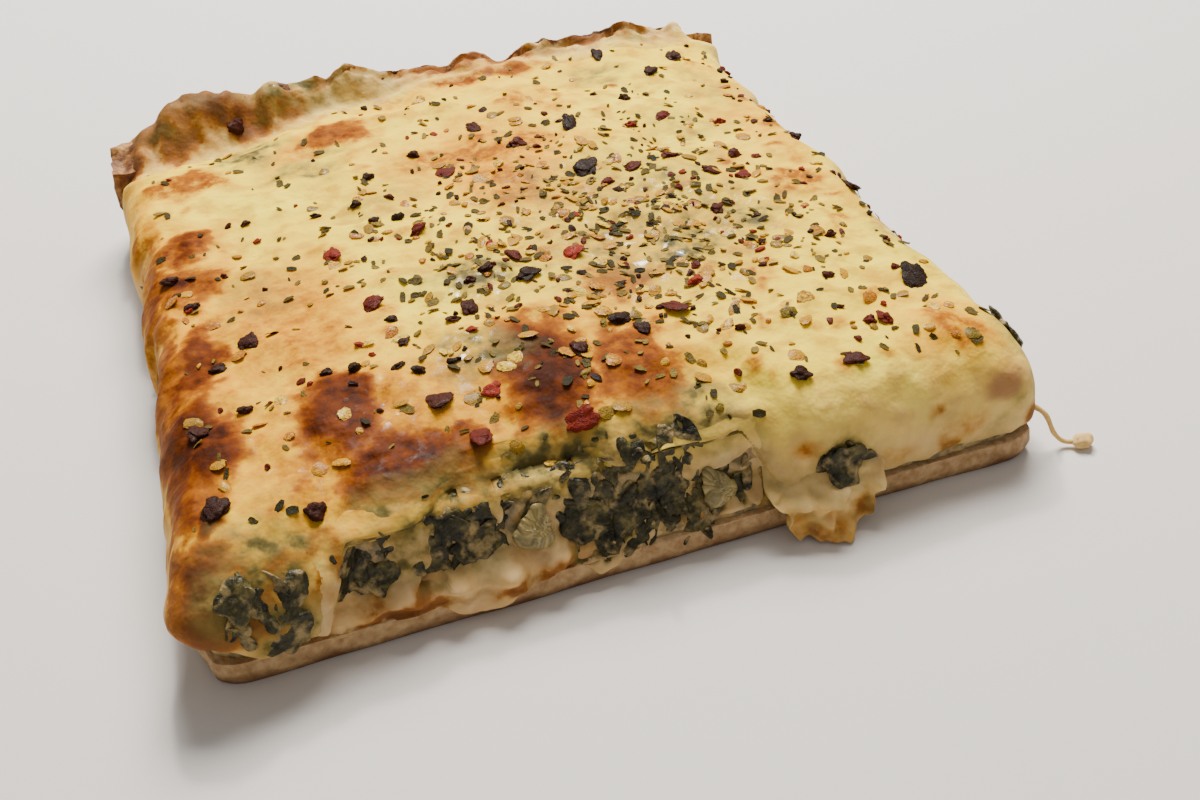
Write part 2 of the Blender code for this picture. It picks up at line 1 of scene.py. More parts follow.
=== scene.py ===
"""A square cut of spinach and artichoke pan pizza, dressed over its CAD frame.

Units are metres. +X runs along the front cut, +Y towards the baked rim and +Z up. Sizes and
places follow the part's own source; what is added here is the fine form and the finish.
"""

import logging
import math
import random
from collections.abc import Callable, Iterable, Iterator, Sequence
from contextlib import contextmanager
from dataclasses import dataclass
from functools import cache
from enum import Enum

import bpy
import numpy as np
from mathutils import Matrix, Vector, noise
from mathutils.bvhtree import BVHTree


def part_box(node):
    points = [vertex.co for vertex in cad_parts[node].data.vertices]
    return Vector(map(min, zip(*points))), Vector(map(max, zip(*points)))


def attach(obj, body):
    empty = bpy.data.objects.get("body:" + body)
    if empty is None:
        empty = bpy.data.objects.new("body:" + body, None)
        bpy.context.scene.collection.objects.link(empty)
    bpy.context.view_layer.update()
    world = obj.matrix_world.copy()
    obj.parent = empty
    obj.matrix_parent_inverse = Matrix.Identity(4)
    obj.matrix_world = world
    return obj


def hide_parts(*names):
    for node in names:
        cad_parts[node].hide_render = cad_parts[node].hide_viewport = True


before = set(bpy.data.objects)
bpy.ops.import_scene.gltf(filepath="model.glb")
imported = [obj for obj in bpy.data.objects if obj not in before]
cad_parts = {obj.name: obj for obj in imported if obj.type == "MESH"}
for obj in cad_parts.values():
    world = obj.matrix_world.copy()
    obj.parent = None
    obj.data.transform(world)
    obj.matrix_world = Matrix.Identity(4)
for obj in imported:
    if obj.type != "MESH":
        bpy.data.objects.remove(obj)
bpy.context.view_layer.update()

MM = 0.001
OVERHEAD = 60 * MM
DOWN = Vector((0, 0, -1))
BODY = "root"
LOG = logging.getLogger("pizza")

Socket = bpy.types.NodeSocket | float | tuple
Place = Callable[[float, float], Vector]
# A topping's x, y, length, width and height in millimetres, its turn in degrees and its tint
Spot = tuple[float, float, float, float, float, float, float]


# ---------------------------------------------------------------- small maths


def mix(a: float, b: float, share: float) -> float:
    """The value that lies a share of the way from a to b."""
    return a + (b - a) * share


def smooth(t: float) -> float:
    """An S-shaped step from 0 to 1 as t goes from 0 to 1."""
    t = min(max(t, 0.0), 1.0)
    return t * t * (3 - 2 * t)


def smooth_all(values: np.ndarray) -> np.ndarray:
    """The same step as smooth, for many values at once."""
    held = np.clip(values, 0, 1)
    return held * held * (3 - 2 * held)


def plateau(value: float, low: float, high: float, blend: float) -> float:
    """1 between low and high, falling to 0 over blend on both sides."""
    return smooth((value - low + blend) / blend) * smooth((high + blend - value) / blend)


def plateau_all(values: np.ndarray, low: float, high: float, blend: float) -> np.ndarray:
    """The same soft window as plateau, for many values at once.

    Args:
        values: The values.
        low, high: Where the window is 1.
        blend: Over how much it falls to 0.

    Returns:
        The window's value for each.
    """
    return smooth_all((values - low + blend) / blend) * smooth_all((high + blend - values) / blend)


def waves(x: float, y: float, z: float, size: float, seed: float) -> float:
    """Smooth noise between about -1 and 1 with bumps of the given size."""
    return noise.noise(Vector((x / size + seed, y / size - seed, z / size + 0.5 * seed)))


def linear(red: int, green: int, blue: int) -> tuple[float, float, float, float]:
    """A colour given in 0-255 display values, as the shader wants it.

    Args:
        red, green, blue: The colour, 0 to 255.

    Returns:
        Red, green, blue and alpha, 0 to 1.
    """
    parts = [value / 255 for value in (red, green, blue)]
    parts = [part / 12.92 if part <= 0.04045 else ((part + 0.055) / 1.055) ** 2.4 for part in parts]
    return (parts[0], parts[1], parts[2], 1.0)


# ---------------------------------------------------------------- the cut's form


@dataclass(frozen=True)
class CutForm:
    """The driving sizes of the cut and the curved surfaces that follow from them."""

    width: float = 128 * MM
    depth: float = 133 * MM
    crust: float = 4.2 * MM
    filling_top: float = 15 * MM
    cheese_mid: float = 21 * MM
    corner: float = 6 * MM
    gap: float = 0.4 * MM
    rim_left: float = 16 * MM
    rim_right: float = 4.5 * MM
    ridge_left: float = 27 * MM
    ridge_right: float = 22.6 * MM
    rim_foot: float = 19.6 * MM
    rim_lump: float = 8 * MM
    lean_front: float = 1.0
    lean_right: float = 0.85
    lean_left: float = 0.6
    foot: float = 1.6 * MM
    slope: float = 0.5
    shoulder_front: float = 13 * MM
    shoulder_right: float = 8.5 * MM
    shoulder_left: float = 7 * MM
    shoulder_back: float = 2 * MM
    lip_height: float = 4.9 * MM
    lip_thickness: float = 1.5 * MM
    ledge_depth: float = 4.4 * MM

    @property
    def half_w(self) -> float:
        """Half the width."""
        return self.width / 2

    @property
    def half_d(self) -> float:
        """Half the depth."""
        return self.depth / 2

    def outlined(self, u: float, v: float, left: float, right: float, front: float,
                 back: float) -> tuple[float, float]:
        """Maps a point of the unit square to a rectangle whose corners are rounded.

        Args:
            u: Place across, from -1 to 1.
            v: Place along, from -1 to 1.
            left, right, front, back: The rectangle's sides.

        Returns:
            The x and y of the point.
        """
        half_x = (right - left) / 2
        half_y = (back - front) / 2
        start_u = 1 - self.corner / half_x
        start_v = 1 - self.corner / half_y
        s = (abs(u) - start_u) / (1 - start_u)
        t = (abs(v) - start_v) / (1 - start_v)
        if s > 0 and t > 0:
            u = math.copysign(mix(start_u, 1, s * math.sqrt(1 - t * t / 2)), u)
            v = math.copysign(mix(start_v, 1, t * math.sqrt(1 - s * s / 2)), v)
        return (left + right) / 2 + u * half_x, (front + back) / 2 + v * half_y

    def rim_line(self, x: float) -> float:
        """Where the filling and the cheese meet the rim's inner wall."""
        width = mix(self.rim_left, self.rim_right, smooth((x + self.half_w) / (0.52 * self.width)))
        return self.half_d - width

    def nominal(self, u: float, v: float) -> tuple[float, float]:
        """Where a point of the unit square lies on the cut's outline in front of the rim."""
        x = u * self.half_w
        return x, mix(-self.half_d, self.rim_line(x), (v + 1) / 2)

    def face_inset(self, height: float) -> float:
        """How far in from the outline the filling's cut face lies at a height."""
        return self.foot + self.slope * (height - self.crust - self.gap)

    def rim_top(self, x: float, share: float) -> tuple[float, float]:
        """The rim's lumpy top.

        Args:
            x: Place across.
            share: 0 at the inner wall, 1 at the pan side.

        Returns:
            The y and z of the surface.
        """
        y = mix(self.rim_line(x) + 0.6 * MM, self.half_d, share)
        ridge = mix(self.ridge_left, self.ridge_right, smooth((x + 0.65 * self.half_w) / self.half_w))
        ridge -= 8 * MM * smooth((x - 0.82 * self.half_w) / (0.18 * self.half_w))
        ridge -= 6.5 * MM * smooth((-x - 0.76 * self.half_w) / (0.24 * self.half_w))
        lumps = 2.1 * MM * waves(x, y, 0, self.rim_lump, 3.1)
        lumps += 1.0 * MM * waves(x, y, 0, 0.45 * self.rim_lump, 7.7)
        z = mix(self.rim_foot, ridge, smooth(share / 0.6)) - 4.2 * MM * smooth((share - 0.6) / 0.4)
        return y, z + lumps * mix(0.3, 1, smooth(share * 3))

    def crust_place(self, u: float, v: float) -> Vector:
        """A point of the crust's top: the flat floor, the inner wall, then the rim.

        Args:
            u: Place across the unit square, -1 to 1.
            v: Place along it, -1 to 1.

        Returns:
            The point, in metres.
        """
        floor_end, rim_start = -0.62, -0.5
        x = u * self.half_w
        line = self.rim_line(x)
        if v <= floor_end:
            y, z = mix(-self.half_d, line, (v + 1) / (floor_end + 1)), self.crust
        elif v < rim_start:
            y, z = self.rim_top(x, 0)
            share = (v - floor_end) / (rim_start - floor_end)
            y, z = mix(line, y, share), mix(self.crust, z, share)
        else:
            y, z = self.rim_top(x, (v - rim_start) / (1 - rim_start))
        x, y = self.outlined(u, y / self.half_d, -self.half_w, self.half_w, -self.half_d, self.half_d)
        return Vector((x, y, z))

    def crust_ring(self, height_share: float, out: float) -> Place:
        """One loop round the crust's edge at a share of its height, pushed out or in.

        Args:
            height_share: 1 at the top, 0 on the table.
            out: How far it is pushed out, in metres.

        Returns:
            The function that places the loop's points.
        """

        def place(u: float, v: float) -> Vector:
            """The loop's point below a point of the border.

            Args:
                u, v: The border's point in the unit square.

            Returns:
                The loop's point.
            """
            top = self.crust_place(u, v)
            lengthwise = max(abs(top.x) - self.half_w + self.corner, 0) * math.copysign(1, top.x)
            crosswise = max(abs(top.y) - self.half_d + self.corner, 0) * math.copysign(1, top.y)
            outward = Vector((lengthwise, crosswise, 0)).normalized()
            wobble = 0.35 * MM * waves(top.x, top.y, top.z * height_share, 9 * MM, 5.3)
            return Vector((top.x, top.y, top.z * height_share)) + outward * (out + wobble)

        return place

    def filling_ring(self, height: float, dent: float, chamfer: float = 0) -> Place:
        """One loop round the filling at a height, dented inwards by gentle waves.

        Args:
            height: Height over the table, in metres.
            dent: Size of the waves.
            chamfer: How much further in the loop lies.

        Returns:
            The function that places the loop's points.
        """

        def place(u: float, v: float) -> Vector:
            """The loop's point for a point of the unit square.

            Args:
                u, v: The border's point in the unit square.

            Returns:
                The loop's point.
            """
            inset = self.face_inset(height) + chamfer
            waved = dent * (1 + waves(u * self.half_w, v * self.half_d, height, 11 * MM, 9.2))
            x, y = self.outlined(u, v, -self.half_w + self.lean_left * inset + waved,
                                 self.half_w - self.lean_right * inset - waved,
                                 -self.half_d + self.lean_front * inset + waved,
                                 self.rim_line(u * self.half_w) - self.gap)
            return Vector((x, y, height))

        return place

    def front_window(self, x: float) -> float:
        """Share of the front cut's window, where the cheese stops short."""
        return plateau(x, -42 * MM, 17 * MM, 4.5 * MM)

    def cheese_top(self, x: float, y: float) -> float:
        """Height of the cheese over the middle of the cut, with its slumps and blisters.

        Args:
            x, y: The place, in metres.

        Returns:
            The height there.
        """
        hump = 1.5 * MM * math.cos(x / self.half_w * 1.4) * math.cos(y / self.half_d * 1.3)
        slumps = 1.3 * MM * waves(x, y, 0, 30 * MM, 1.7)
        blisters = 0.8 * MM * waves(x, y, 0, 10 * MM, 4.4) + 0.4 * MM * waves(x, y, 0, 5 * MM, 8.1)
        to_rim = max(self.rim_line(x) - y, 0)
        valley = 1.6 * MM * math.exp(-((to_rim / (7 * MM)) ** 2)) * smooth((10 * MM - x) / self.half_w)
        right_end = smooth((x - 0.6 * self.half_w) / (0.4 * self.half_w))
        droop = 3.4 * MM * right_end * smooth((y - 20 * MM) / (30 * MM))
        from_front = (y + self.half_d - 11 * MM) / (9 * MM)
        sag = 2.2 * MM * self.front_window(x) * math.exp(-(from_front ** 2))
        return self.cheese_mid + hump + slumps + blisters - valley - droop - sag

    def drape(self, u: float, v: float) -> float:
        """How fully the cheese hangs over a side: 1 down to the crust, 0 short of the filling.

        Args:
            u: Place across the unit square, -1 to 1.
            v: Place along it, -1 to 1.

        Returns:
            The share, 0 to 1.
        """
        x, y = self.nominal(u, v)
        ragged = 0.2 * waves(x, y, 0, 7 * MM, 6.6)
        if abs(v) >= abs(u) and v < 0:
            opened = self.front_window(x)
        elif u > 0:
            opened = plateau(y, -36 * MM, -9 * MM, 6 * MM) + plateau(y, 2 * MM, 31 * MM, 6 * MM)
        else:
            opened = plateau(y, 9 * MM, 19 * MM, 6 * MM) + plateau(y, -19 * MM, -9 * MM, 6 * MM)
        return min(max(1 - opened + ragged * (1 - opened), 0), 1)

    def ledge(self, u: float, v: float) -> float:
        """How far in from the filling's top edge the cheese stops, inside the front window."""
        x = u * self.half_w
        return smooth((-0.9 - v) / 0.08) * self.ledge_depth * plateau(x, -27 * MM, -8 * MM, 7 * MM)

    def corner_bulge(self, u: float, v: float) -> float:
        """How much of a point of the border belongs to the swollen front left corner."""
        x, y = self.nominal(u, v)
        return math.exp(-((math.hypot(x + self.half_w, y + self.half_d) / (26 * MM)) ** 2))

    def cheese_core(self, u: float, v: float) -> Vector:
        """Top sheet of the cheese, inside the round shoulders.

        Args:
            u: Place across the unit square, -1 to 1.
            v: Place along it, -1 to 1.

        Returns:
            The point, in metres.
        """
        x, y = self.outlined(u, v, -self.half_w + self.shoulder_left, self.half_w - self.shoulder_right,
                             -self.half_d + self.shoulder_front,
                             self.rim_line(u * self.half_w) - self.shoulder_back)
        return Vector((x, y, self.cheese_top(x, y)))

    def cheese_ring(self, full_share: float, full_drop: float, short_share: float, short_drop: float,
                    back_share: float, back_drop: float, swell: float) -> Place:
        """One loop of the outer skin of the hanging cheese.

        Args:
            full_share, short_share, back_share: How much of the shoulder's width is left where
                the cheese hangs full length, where it stops short, and along the rim.
            full_drop, short_drop, back_drop: How far down the loop lies there, 0 to 1.
            swell: Scale of the corner's bulge.

        Returns:
            The function that places the loop's points.
        """

        def place(u: float, v: float) -> Vector:
            """The loop's point below a point of the border.

            Args:
                u, v: The border's point in the unit square.

            Returns:
                The loop's point.
            """
            full = self.drape(u, v)
            bulge = self.corner_bulge(u, v)
            x, y = u * self.half_w, v * self.half_d
            out = 3.4 * MM * bulge * swell + 0.35 * MM * waves(x, y, 12 * MM * full_drop, 8 * MM, 2.2)
            insets = []
            for shoulder, lean in ((self.shoulder_left, self.lean_left),
                                   (self.shoulder_right, self.lean_right),
                                   (self.shoulder_front, self.lean_front)):
                edge = lean * self.face_inset(self.filling_top) - self.gap - self.lip_thickness
                short = mix(edge + self.ledge(u, v), shoulder, short_share)
                insets.append(mix(short, shoulder * full_share, full) - out)
            left, right, front = insets
            back = self.rim_line(x) - mix(self.gap, self.shoulder_back, back_share)
            top = self.cheese_core(u, v).z
            lip = self.lip_height + 0.6 * MM * (1 + waves(x, y, 0, 6 * MM, 3.9))
            lip += 5.6 * MM * smooth((bulge - 0.86) / 0.12)
            low = self.filling_top + self.gap
            hang = mix(mix(top, low + 0.3 * MM, short_drop), mix(top, lip, full_drop), full)
            x, y = self.outlined(u, v, -self.half_w + left, self.half_w - right, -self.half_d + front, back)
            return Vector((x, y, mix(hang, mix(top, low, back_drop), smooth((v - 0.9) / 0.08))))

        return place

    def cheese_inside(self, rise: float, back_drop: float) -> Place:
        """One loop of the inner skin: from the lip up the filling's cut face, then inwards.

        Args:
            rise: 0 at the lip, 1 at the loop's highest.
            back_drop: How far down the loop lies along the rim, 0 to 1.

        Returns:
            The function that places the loop's points.
        """

        def place(u: float, v: float) -> Vector:
            """The loop's point behind a point of the border.

            Args:
                u, v: The border's point in the unit square.

            Returns:
                The loop's point.
            """
            top = self.filling_top + self.gap
            deep = top - self.lip_height - 1.7 * MM
            deep -= 5.6 * MM * smooth((self.corner_bulge(u, v) - 0.86) / 0.12)
            lip = mix(-self.ledge(u, v), deep, self.drape(u, v))
            step = lip * (1 - rise) if lip > 0 else lip - 0.6 * MM * rise
            down, inwards = max(step, 0), max(-step, 0)
            left, right, front = (lean * self.face_inset(top - down) - self.gap - 0.1 * MM + inwards
                                  for lean in (self.lean_left, self.lean_right, self.lean_front))
            back = self.rim_line(u * self.half_w) - self.gap - 0.1 * MM
            x, y = self.outlined(u, v, -self.half_w + left, self.half_w - right, -self.half_d + front, back)
            core = self.cheese_core(u, v).z
            return Vector((x, y, mix(top - down, mix(core, top, back_drop), smooth((v - 0.9) / 0.08))))

        return place


FORM = CutForm()


# ---------------------------------------------------------------- modelling helpers


def select_only(thing: bpy.types.Object | None) -> None:
    """Deselects everything, then makes one object selected and active.

    Args:
        thing: The object, or None for none.
    """
    if bpy.context.object and bpy.context.object.mode != "OBJECT":
        bpy.ops.object.mode_set(mode="OBJECT")
    bpy.ops.object.select_all(action="DESELECT")
    if thing:
        thing.select_set(True)
        bpy.context.view_layer.objects.active = thing


def new_piece(name: str) -> bpy.types.Object:
    """Names the primitive that was just added.

    Args:
        name: Its new name.

    Returns:
        The object.
    """
    piece = bpy.context.object
    piece.name = piece.data.name = name
    return piece


def coordinates(piece: bpy.types.Object) -> np.ndarray:
    """The places of a piece's points, one row each.

    Args:
        piece: The piece.

    Returns:
        An array of x, y and z, in metres.
    """
    flat = np.empty(len(piece.data.vertices) * 3)
    piece.data.vertices.foreach_get("co", flat)
    return flat.reshape(-1, 3)


def set_coordinates(piece: bpy.types.Object, places: np.ndarray) -> None:
    """Moves a piece's points."""
    piece.data.vertices.foreach_set("co", places.astype(float).ravel())
    piece.data.update()


def normals(piece: bpy.types.Object) -> np.ndarray:
    """The normals at a piece's points, one row each.

    Args:
        piece: The piece.

    Returns:
        An array of x, y and z, each row of length 1.
    """
    flat = np.empty(len(piece.data.vertices) * 3)
    piece.data.vertex_normals.foreach_get("vector", flat)
    return flat.reshape(-1, 3)


def paint(piece: bpy.types.Object, name: str, values: np.ndarray) -> None:
    """Keeps one number a point on a piece, for its finish to read."""
    layer = piece.data.attributes.new(name, "FLOAT", "POINT")
    layer.data.foreach_set("value", np.asarray(values, dtype=float))


def relief(places: np.ndarray, size: float, seed: float) -> np.ndarray:
    """Smooth noise of one bump size at every place."""
    return np.array([waves(x, y, z, size, seed) for x, y, z in places])


def cells(places: np.ndarray, size: float, seed: float) -> np.ndarray:
    """Distance to the nearest of scattered points at every place, 0 to about 1."""
    shift = Vector((seed, -seed, 2 * seed))
    return np.array([noise.voronoi(Vector(p) / size + shift)[0][0] for p in places])


@contextmanager
def editing() -> Iterator[None]:
    """Holds the active piece in edit mode, with all of it selected at the start."""
    bpy.ops.object.mode_set(mode="EDIT")
    bpy.ops.mesh.select_all(action="SELECT")
    yield
    bpy.ops.object.mode_set(mode="OBJECT")


def apply_modifier(piece: bpy.types.Object, kind: str, **settings: float) -> None:
    """Gives the selected piece a modifier with the given settings, and applies it.

    Args:
        piece: The piece, selected and active.
        kind: The modifier's type.
        settings: The modifier's properties.
    """
    added = piece.modifiers.new(kind.lower(), kind)
    for name, value in settings.items():
        setattr(added, name, value)
    bpy.ops.object.modifier_apply(modifier=added.name)


def mesh_piece(name: str, points: Sequence[Sequence[float]], faces: Sequence[tuple]) -> bpy.types.Object:
    """A new piece in the scene with the given points and faces, selected.

    Args:
        name: Its name.
        points: The places of its points, in metres.
        faces: The numbers of each face's points.

    Returns:
        The piece.
    """
    mesh = bpy.data.meshes.new(name)
    mesh.from_pydata(points, [], faces)
    piece = bpy.data.objects.new(name, mesh)
    bpy.context.scene.collection.objects.link(piece)
    select_only(piece)
    return piece


def face_outwards(piece: bpy.types.Object) -> None:
    """Points every face of a closed piece outwards.

    Args:
        piece: The piece.
    """
    select_only(piece)
    with editing():
        bpy.ops.mesh.normals_make_consistent(inside=False)


def ringed_sheet(name: str, columns: int, rows: int, ring_count: int, top: Place,
                 ring: Callable[[int, float, float], Vector]) -> tuple[bpy.types.Object, np.ndarray, np.ndarray]:
    """A square grid whose border is extruded again and again, capped, and put in its place.

    Args:
        name: The piece's name.
        columns: Grid cells across.
        rows: Grid cells along.
        ring_count: How many times the border is carried on.
        top: Places the grid's points, each from its own place in the unit square.
        ring: Places a ring's points, from the ring's number and the border's point.

    Returns:
        The piece, and for each point its place in the unit square, one row each, and the number
        of its ring, from 1, or 0 on the grid.
    """
    select_only(None)
    bpy.ops.mesh.primitive_grid_add(x_subdivisions=columns, y_subdivisions=rows, size=2)
    piece = new_piece(name)
    grid_points = len(piece.data.vertices)
    with editing():
        bpy.ops.mesh.select_mode(type="EDGE")
        bpy.ops.mesh.region_to_loop()
        for _ in range(ring_count):
            bpy.ops.mesh.extrude_edges_move(TRANSFORM_OT_translate={"value": (0, 0, 0)})
        bpy.ops.mesh.edge_face_add()
    places = coordinates(piece)
    square = places[:, :2].copy()
    ring_points = (len(places) - grid_points) // ring_count
    rings = np.maximum((np.arange(len(places)) - grid_points) // ring_points + 1, 0)
    for index, (u, v) in enumerate(square.tolist()):
        number = int(rings[index])
        places[index] = ring(number, u, v) if number else top(u, v)
    set_coordinates(piece, places)
    return piece, square, rings


def spline(points: Sequence[Vector], steps: int) -> list[Vector]:
    """Points on a smooth curve through the given ones, without the first and last of them.

    Args:
        points: The curve's own points; the first and the last only steer it.
        steps: How many points to make for each stretch.

    Returns:
        The points after the second one, up to the last but one.
    """
    made = []
    for a, b, c, d in zip(points, points[1:], points[2:], points[3:]):
        for step in range(1, steps + 1):
            t = step / steps
            made.append(0.5 * (2 * b + (c - a) * t + (2 * a - 5 * b + 4 * c - d) * t * t
                               + (3 * b - a - 3 * c + d) * t ** 3))
    return made


def finish_piece(piece: bpy.types.Object, material: bpy.types.Material, slot: str,
                 *nodes: str, smooth_angle: float = 80) -> bpy.types.Object:
    """Gives a finished piece its material, smooth shading and body, and hides the CAD nodes it replaces.

    Args:
        piece: The piece, with its place in its mesh.
        material: Its finish.
        slot: The name of a material slot; not used.
        nodes: CAD nodes that it replaces.
        smooth_angle: Edges sharper than this stay sharp, in degrees.

    Returns:
        The piece.
    """
    piece.data.materials.clear()
    piece.data.materials.append(material)
    select_only(piece)
    bpy.ops.object.shade_smooth_by_angle(angle=math.radians(smooth_angle))
    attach(piece, BODY)
    if nodes:
        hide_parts(*nodes)
    triangles = sum(len(face.vertices) - 2 for face in piece.data.polygons)
    LOG.info("%s: %d triangles", piece.name, triangles)
    return piece


# ---------------------------------------------------------------- node helpers


class NodeBoard:
    """A node tree with short calls for the nodes that the finishes use."""

    def __init__(self, tree: bpy.types.NodeTree) -> None:
        """Starts on an existing tree."""
        self.tree = tree

    def put(self, kind: str, inputs: dict[str | int, Socket], **options: object) -> bpy.types.Node:
        """Adds a node, sets its options, and sets or links its inputs.

        Args:
            kind: The node's type name.
            inputs: Values or sockets by input name or number.
            options: Properties of the node itself.

        Returns:
            The node.
        """
        node = self.tree.nodes.new(kind)
        for name, value in options.items():
            setattr(node, name, value)
        for name, value in inputs.items():
            if isinstance(value, bpy.types.NodeSocket):
                self.tree.links.new(value, node.inputs[name])
            else:
                node.inputs[name].default_value = value
        return node

    def mottling(self, size: float, low: float = 0.35, high: float = 0.65, detail: float = 2.0) -> Socket:
        """Soft patches of a size, as a mask from 0 to 1.

        Args:
            size: Size of the patches, in metres.
            low, high: The noise that gives 0 and 1.
            detail: How many finer layers the noise has.

        Returns:
            The mask's socket.
        """
        group = self.put("ShaderNodeGroup", {}, node_tree=mottling_group())
        for name, value in (("Scale", 1 / size), ("Low", low), ("High", high), ("Detail", detail)):
            group.inputs[name].default_value = value
        return group.outputs["Mask"]

    def graining(self, size: float) -> Socket:
        """Fine rounded grains of a size, as a height from 0 to 1."""
        group = self.put("ShaderNodeGroup", {"Scale": 1 / size}, node_tree=graining_group())
        return group.outputs["Height"]

    def value(self, name: str) -> Socket:
        """The number that the mesh keeps under a name."""
        return self.put("ShaderNodeAttribute", {}, attribute_name=name).outputs["Fac"]

    def height(self) -> Socket:
        """Height over the table, in metres."""
        here = self.put("ShaderNodeTexCoord", {}).outputs["Object"]
        return self.put("ShaderNodeSeparateXYZ", {"Vector": here}).outputs["Z"]

    def maths(self, operation: str, a: Socket, b: Socket = 0.0, clamp: bool = False) -> Socket:
        """One sum, product or other step on two numbers."""
        return self.put("ShaderNodeMath", {0: a, 1: b}, operation=operation, use_clamp=clamp).outputs[0]

    def times(self, a: Socket, b: Socket, clamp: bool = False) -> Socket:
        """The product of two numbers."""
        return self.maths("MULTIPLY", a, b, clamp)

    def plus(self, a: Socket, b: Socket, clamp: bool = False) -> Socket:
        """The sum of two numbers."""
        return self.maths("ADD", a, b, clamp)

    def fitted(self, value: Socket, low: float, high: float, start: float = 0, end: float = 1) -> Socket:
        """A number mapped from one range to another and held inside it."""
        return self.put("ShaderNodeMapRange", {"Value": value, "From Min": low, "From Max": high,
                                               "To Min": start, "To Max": end}).outputs[0]

    def ramp(self, value: Socket, stops: Iterable[tuple[float, tuple]]) -> Socket:
        """A colour that changes with a number through the given stops.

        Args:
            value: The number's socket.
            stops: Place and colour of each stop, in order.

        Returns:
            The colour's socket.
        """
        node = self.put("ShaderNodeValToRGB", {"Fac": value})
        keys = node.color_ramp.elements
        stops = list(stops)
        keys[0].position, keys[0].color = stops[0]
        keys[1].position, keys[1].color = stops[-1]
        for position, colour in stops[1:-1]:
            keys.new(position).color = colour
        return node.outputs["Color"]

    def blend(self, share: Socket, a: Socket, b: Socket, mode: str = "MIX") -> Socket:
        """Two colours laid over each other."""
        return self.put("ShaderNodeMix", {0: share, 6: a, 7: b}, data_type="RGBA", blend_type=mode,
                        clamp_factor=True).outputs[2]

    def bump(self, height: Socket, depth: float, strength: float = 1.0) -> Socket:
        """A normal that follows a height from 0 to 1 over a real depth."""
        return self.put("ShaderNodeBump", {"Height": height, "Distance": depth,
                                           "Strength": strength}).outputs["Normal"]


def mottling_group() -> bpy.types.NodeTree:
    """The shared effect of soft patches, built once.

    Returns:
        The node group, whose output is the mask.
    """
    made = bpy.data.node_groups.get("soft_mottling")
    if made:
        return made
    made = bpy.data.node_groups.new("soft_mottling", "ShaderNodeTree")
    for name in ("Scale", "Low", "High", "Detail"):
        made.interface.new_socket(name=name, in_out="INPUT", socket_type="NodeSocketFloat")
    made.interface.new_socket(name="Mask", in_out="OUTPUT", socket_type="NodeSocketFloat")
    board = NodeBoard(made)
    given = board.put("NodeGroupInput", {}).outputs
    here = board.put("ShaderNodeTexCoord", {}).outputs["Object"]
    cloud = board.put("ShaderNodeTexNoise", {"Vector": here, "Scale": given["Scale"],
                                             "Detail": given["Detail"]}).outputs["Fac"]
    mask = board.put("ShaderNodeMapRange", {"Value": cloud, "From Min": given["Low"],
                                            "From Max": given["High"]}).outputs[0]
    board.put("NodeGroupOutput", {"Mask": mask})
    return made


def graining_group() -> bpy.types.NodeTree:
    """The shared effect of fine rounded grains, built once.

    Returns:
        The node group, whose output is the height.
    """
    made = bpy.data.node_groups.get("fine_graining")
    if made:
        return made
    made = bpy.data.node_groups.new("fine_graining", "ShaderNodeTree")
    made.interface.new_socket(name="Scale", in_out="INPUT", socket_type="NodeSocketFloat")
    made.interface.new_socket(name="Height", in_out="OUTPUT", socket_type="NodeSocketFloat")
    board = NodeBoard(made)
    given = board.put("NodeGroupInput", {}).outputs
    here = board.put("ShaderNodeTexCoord", {}).outputs["Object"]
    swirl = board.put("ShaderNodeTexNoise", {"Vector": here, "Scale": given["Scale"]}).outputs["Color"]
    warped = board.blend(0.002, here, swirl, "ADD")
    round_cells = board.put("ShaderNodeTexVoronoi", {"Vector": warped, "Scale": given["Scale"]},
                            feature="SMOOTH_F1").outputs["Distance"]
    fine = board.put("ShaderNodeTexNoise", {"Vector": here, "Scale": given["Scale"], "Detail": 4.0}).outputs["Fac"]
    height = board.plus(board.times(board.maths("SUBTRACT", 1.0, round_cells), 0.6),
                         board.times(fine, 0.5), clamp=True)
    board.put("NodeGroupOutput", {"Height": height})
    return made


def blank_material(name: str) -> tuple[bpy.types.Material, NodeBoard, bpy.types.Node]:
    """A new material, its board and its Principled shader.

    Args:
        name: The material's name.

    Returns:
        The material, the board on its nodes, and the shader.
    """
    made = bpy.data.materials.new(name)
    made.use_nodes = True
    return made, NodeBoard(made.node_tree), made.node_tree.nodes["Principled BSDF"]


def wire(board: NodeBoard, shader: bpy.types.Node, **links: Socket) -> None:
    """Sets or links inputs of the shader, with underscores for the spaces in their names.

    Args:
        board: The material's board.
        shader: The shader.
        links: Values or sockets by input name.
    """
    for name, value in links.items():
        socket = shader.inputs[name.replace("_", " ")]
        if isinstance(value, bpy.types.NodeSocket):
            board.tree.links.new(value, socket)
        else:
            socket.default_value = value


# ---------------------------------------------------------------- finishes


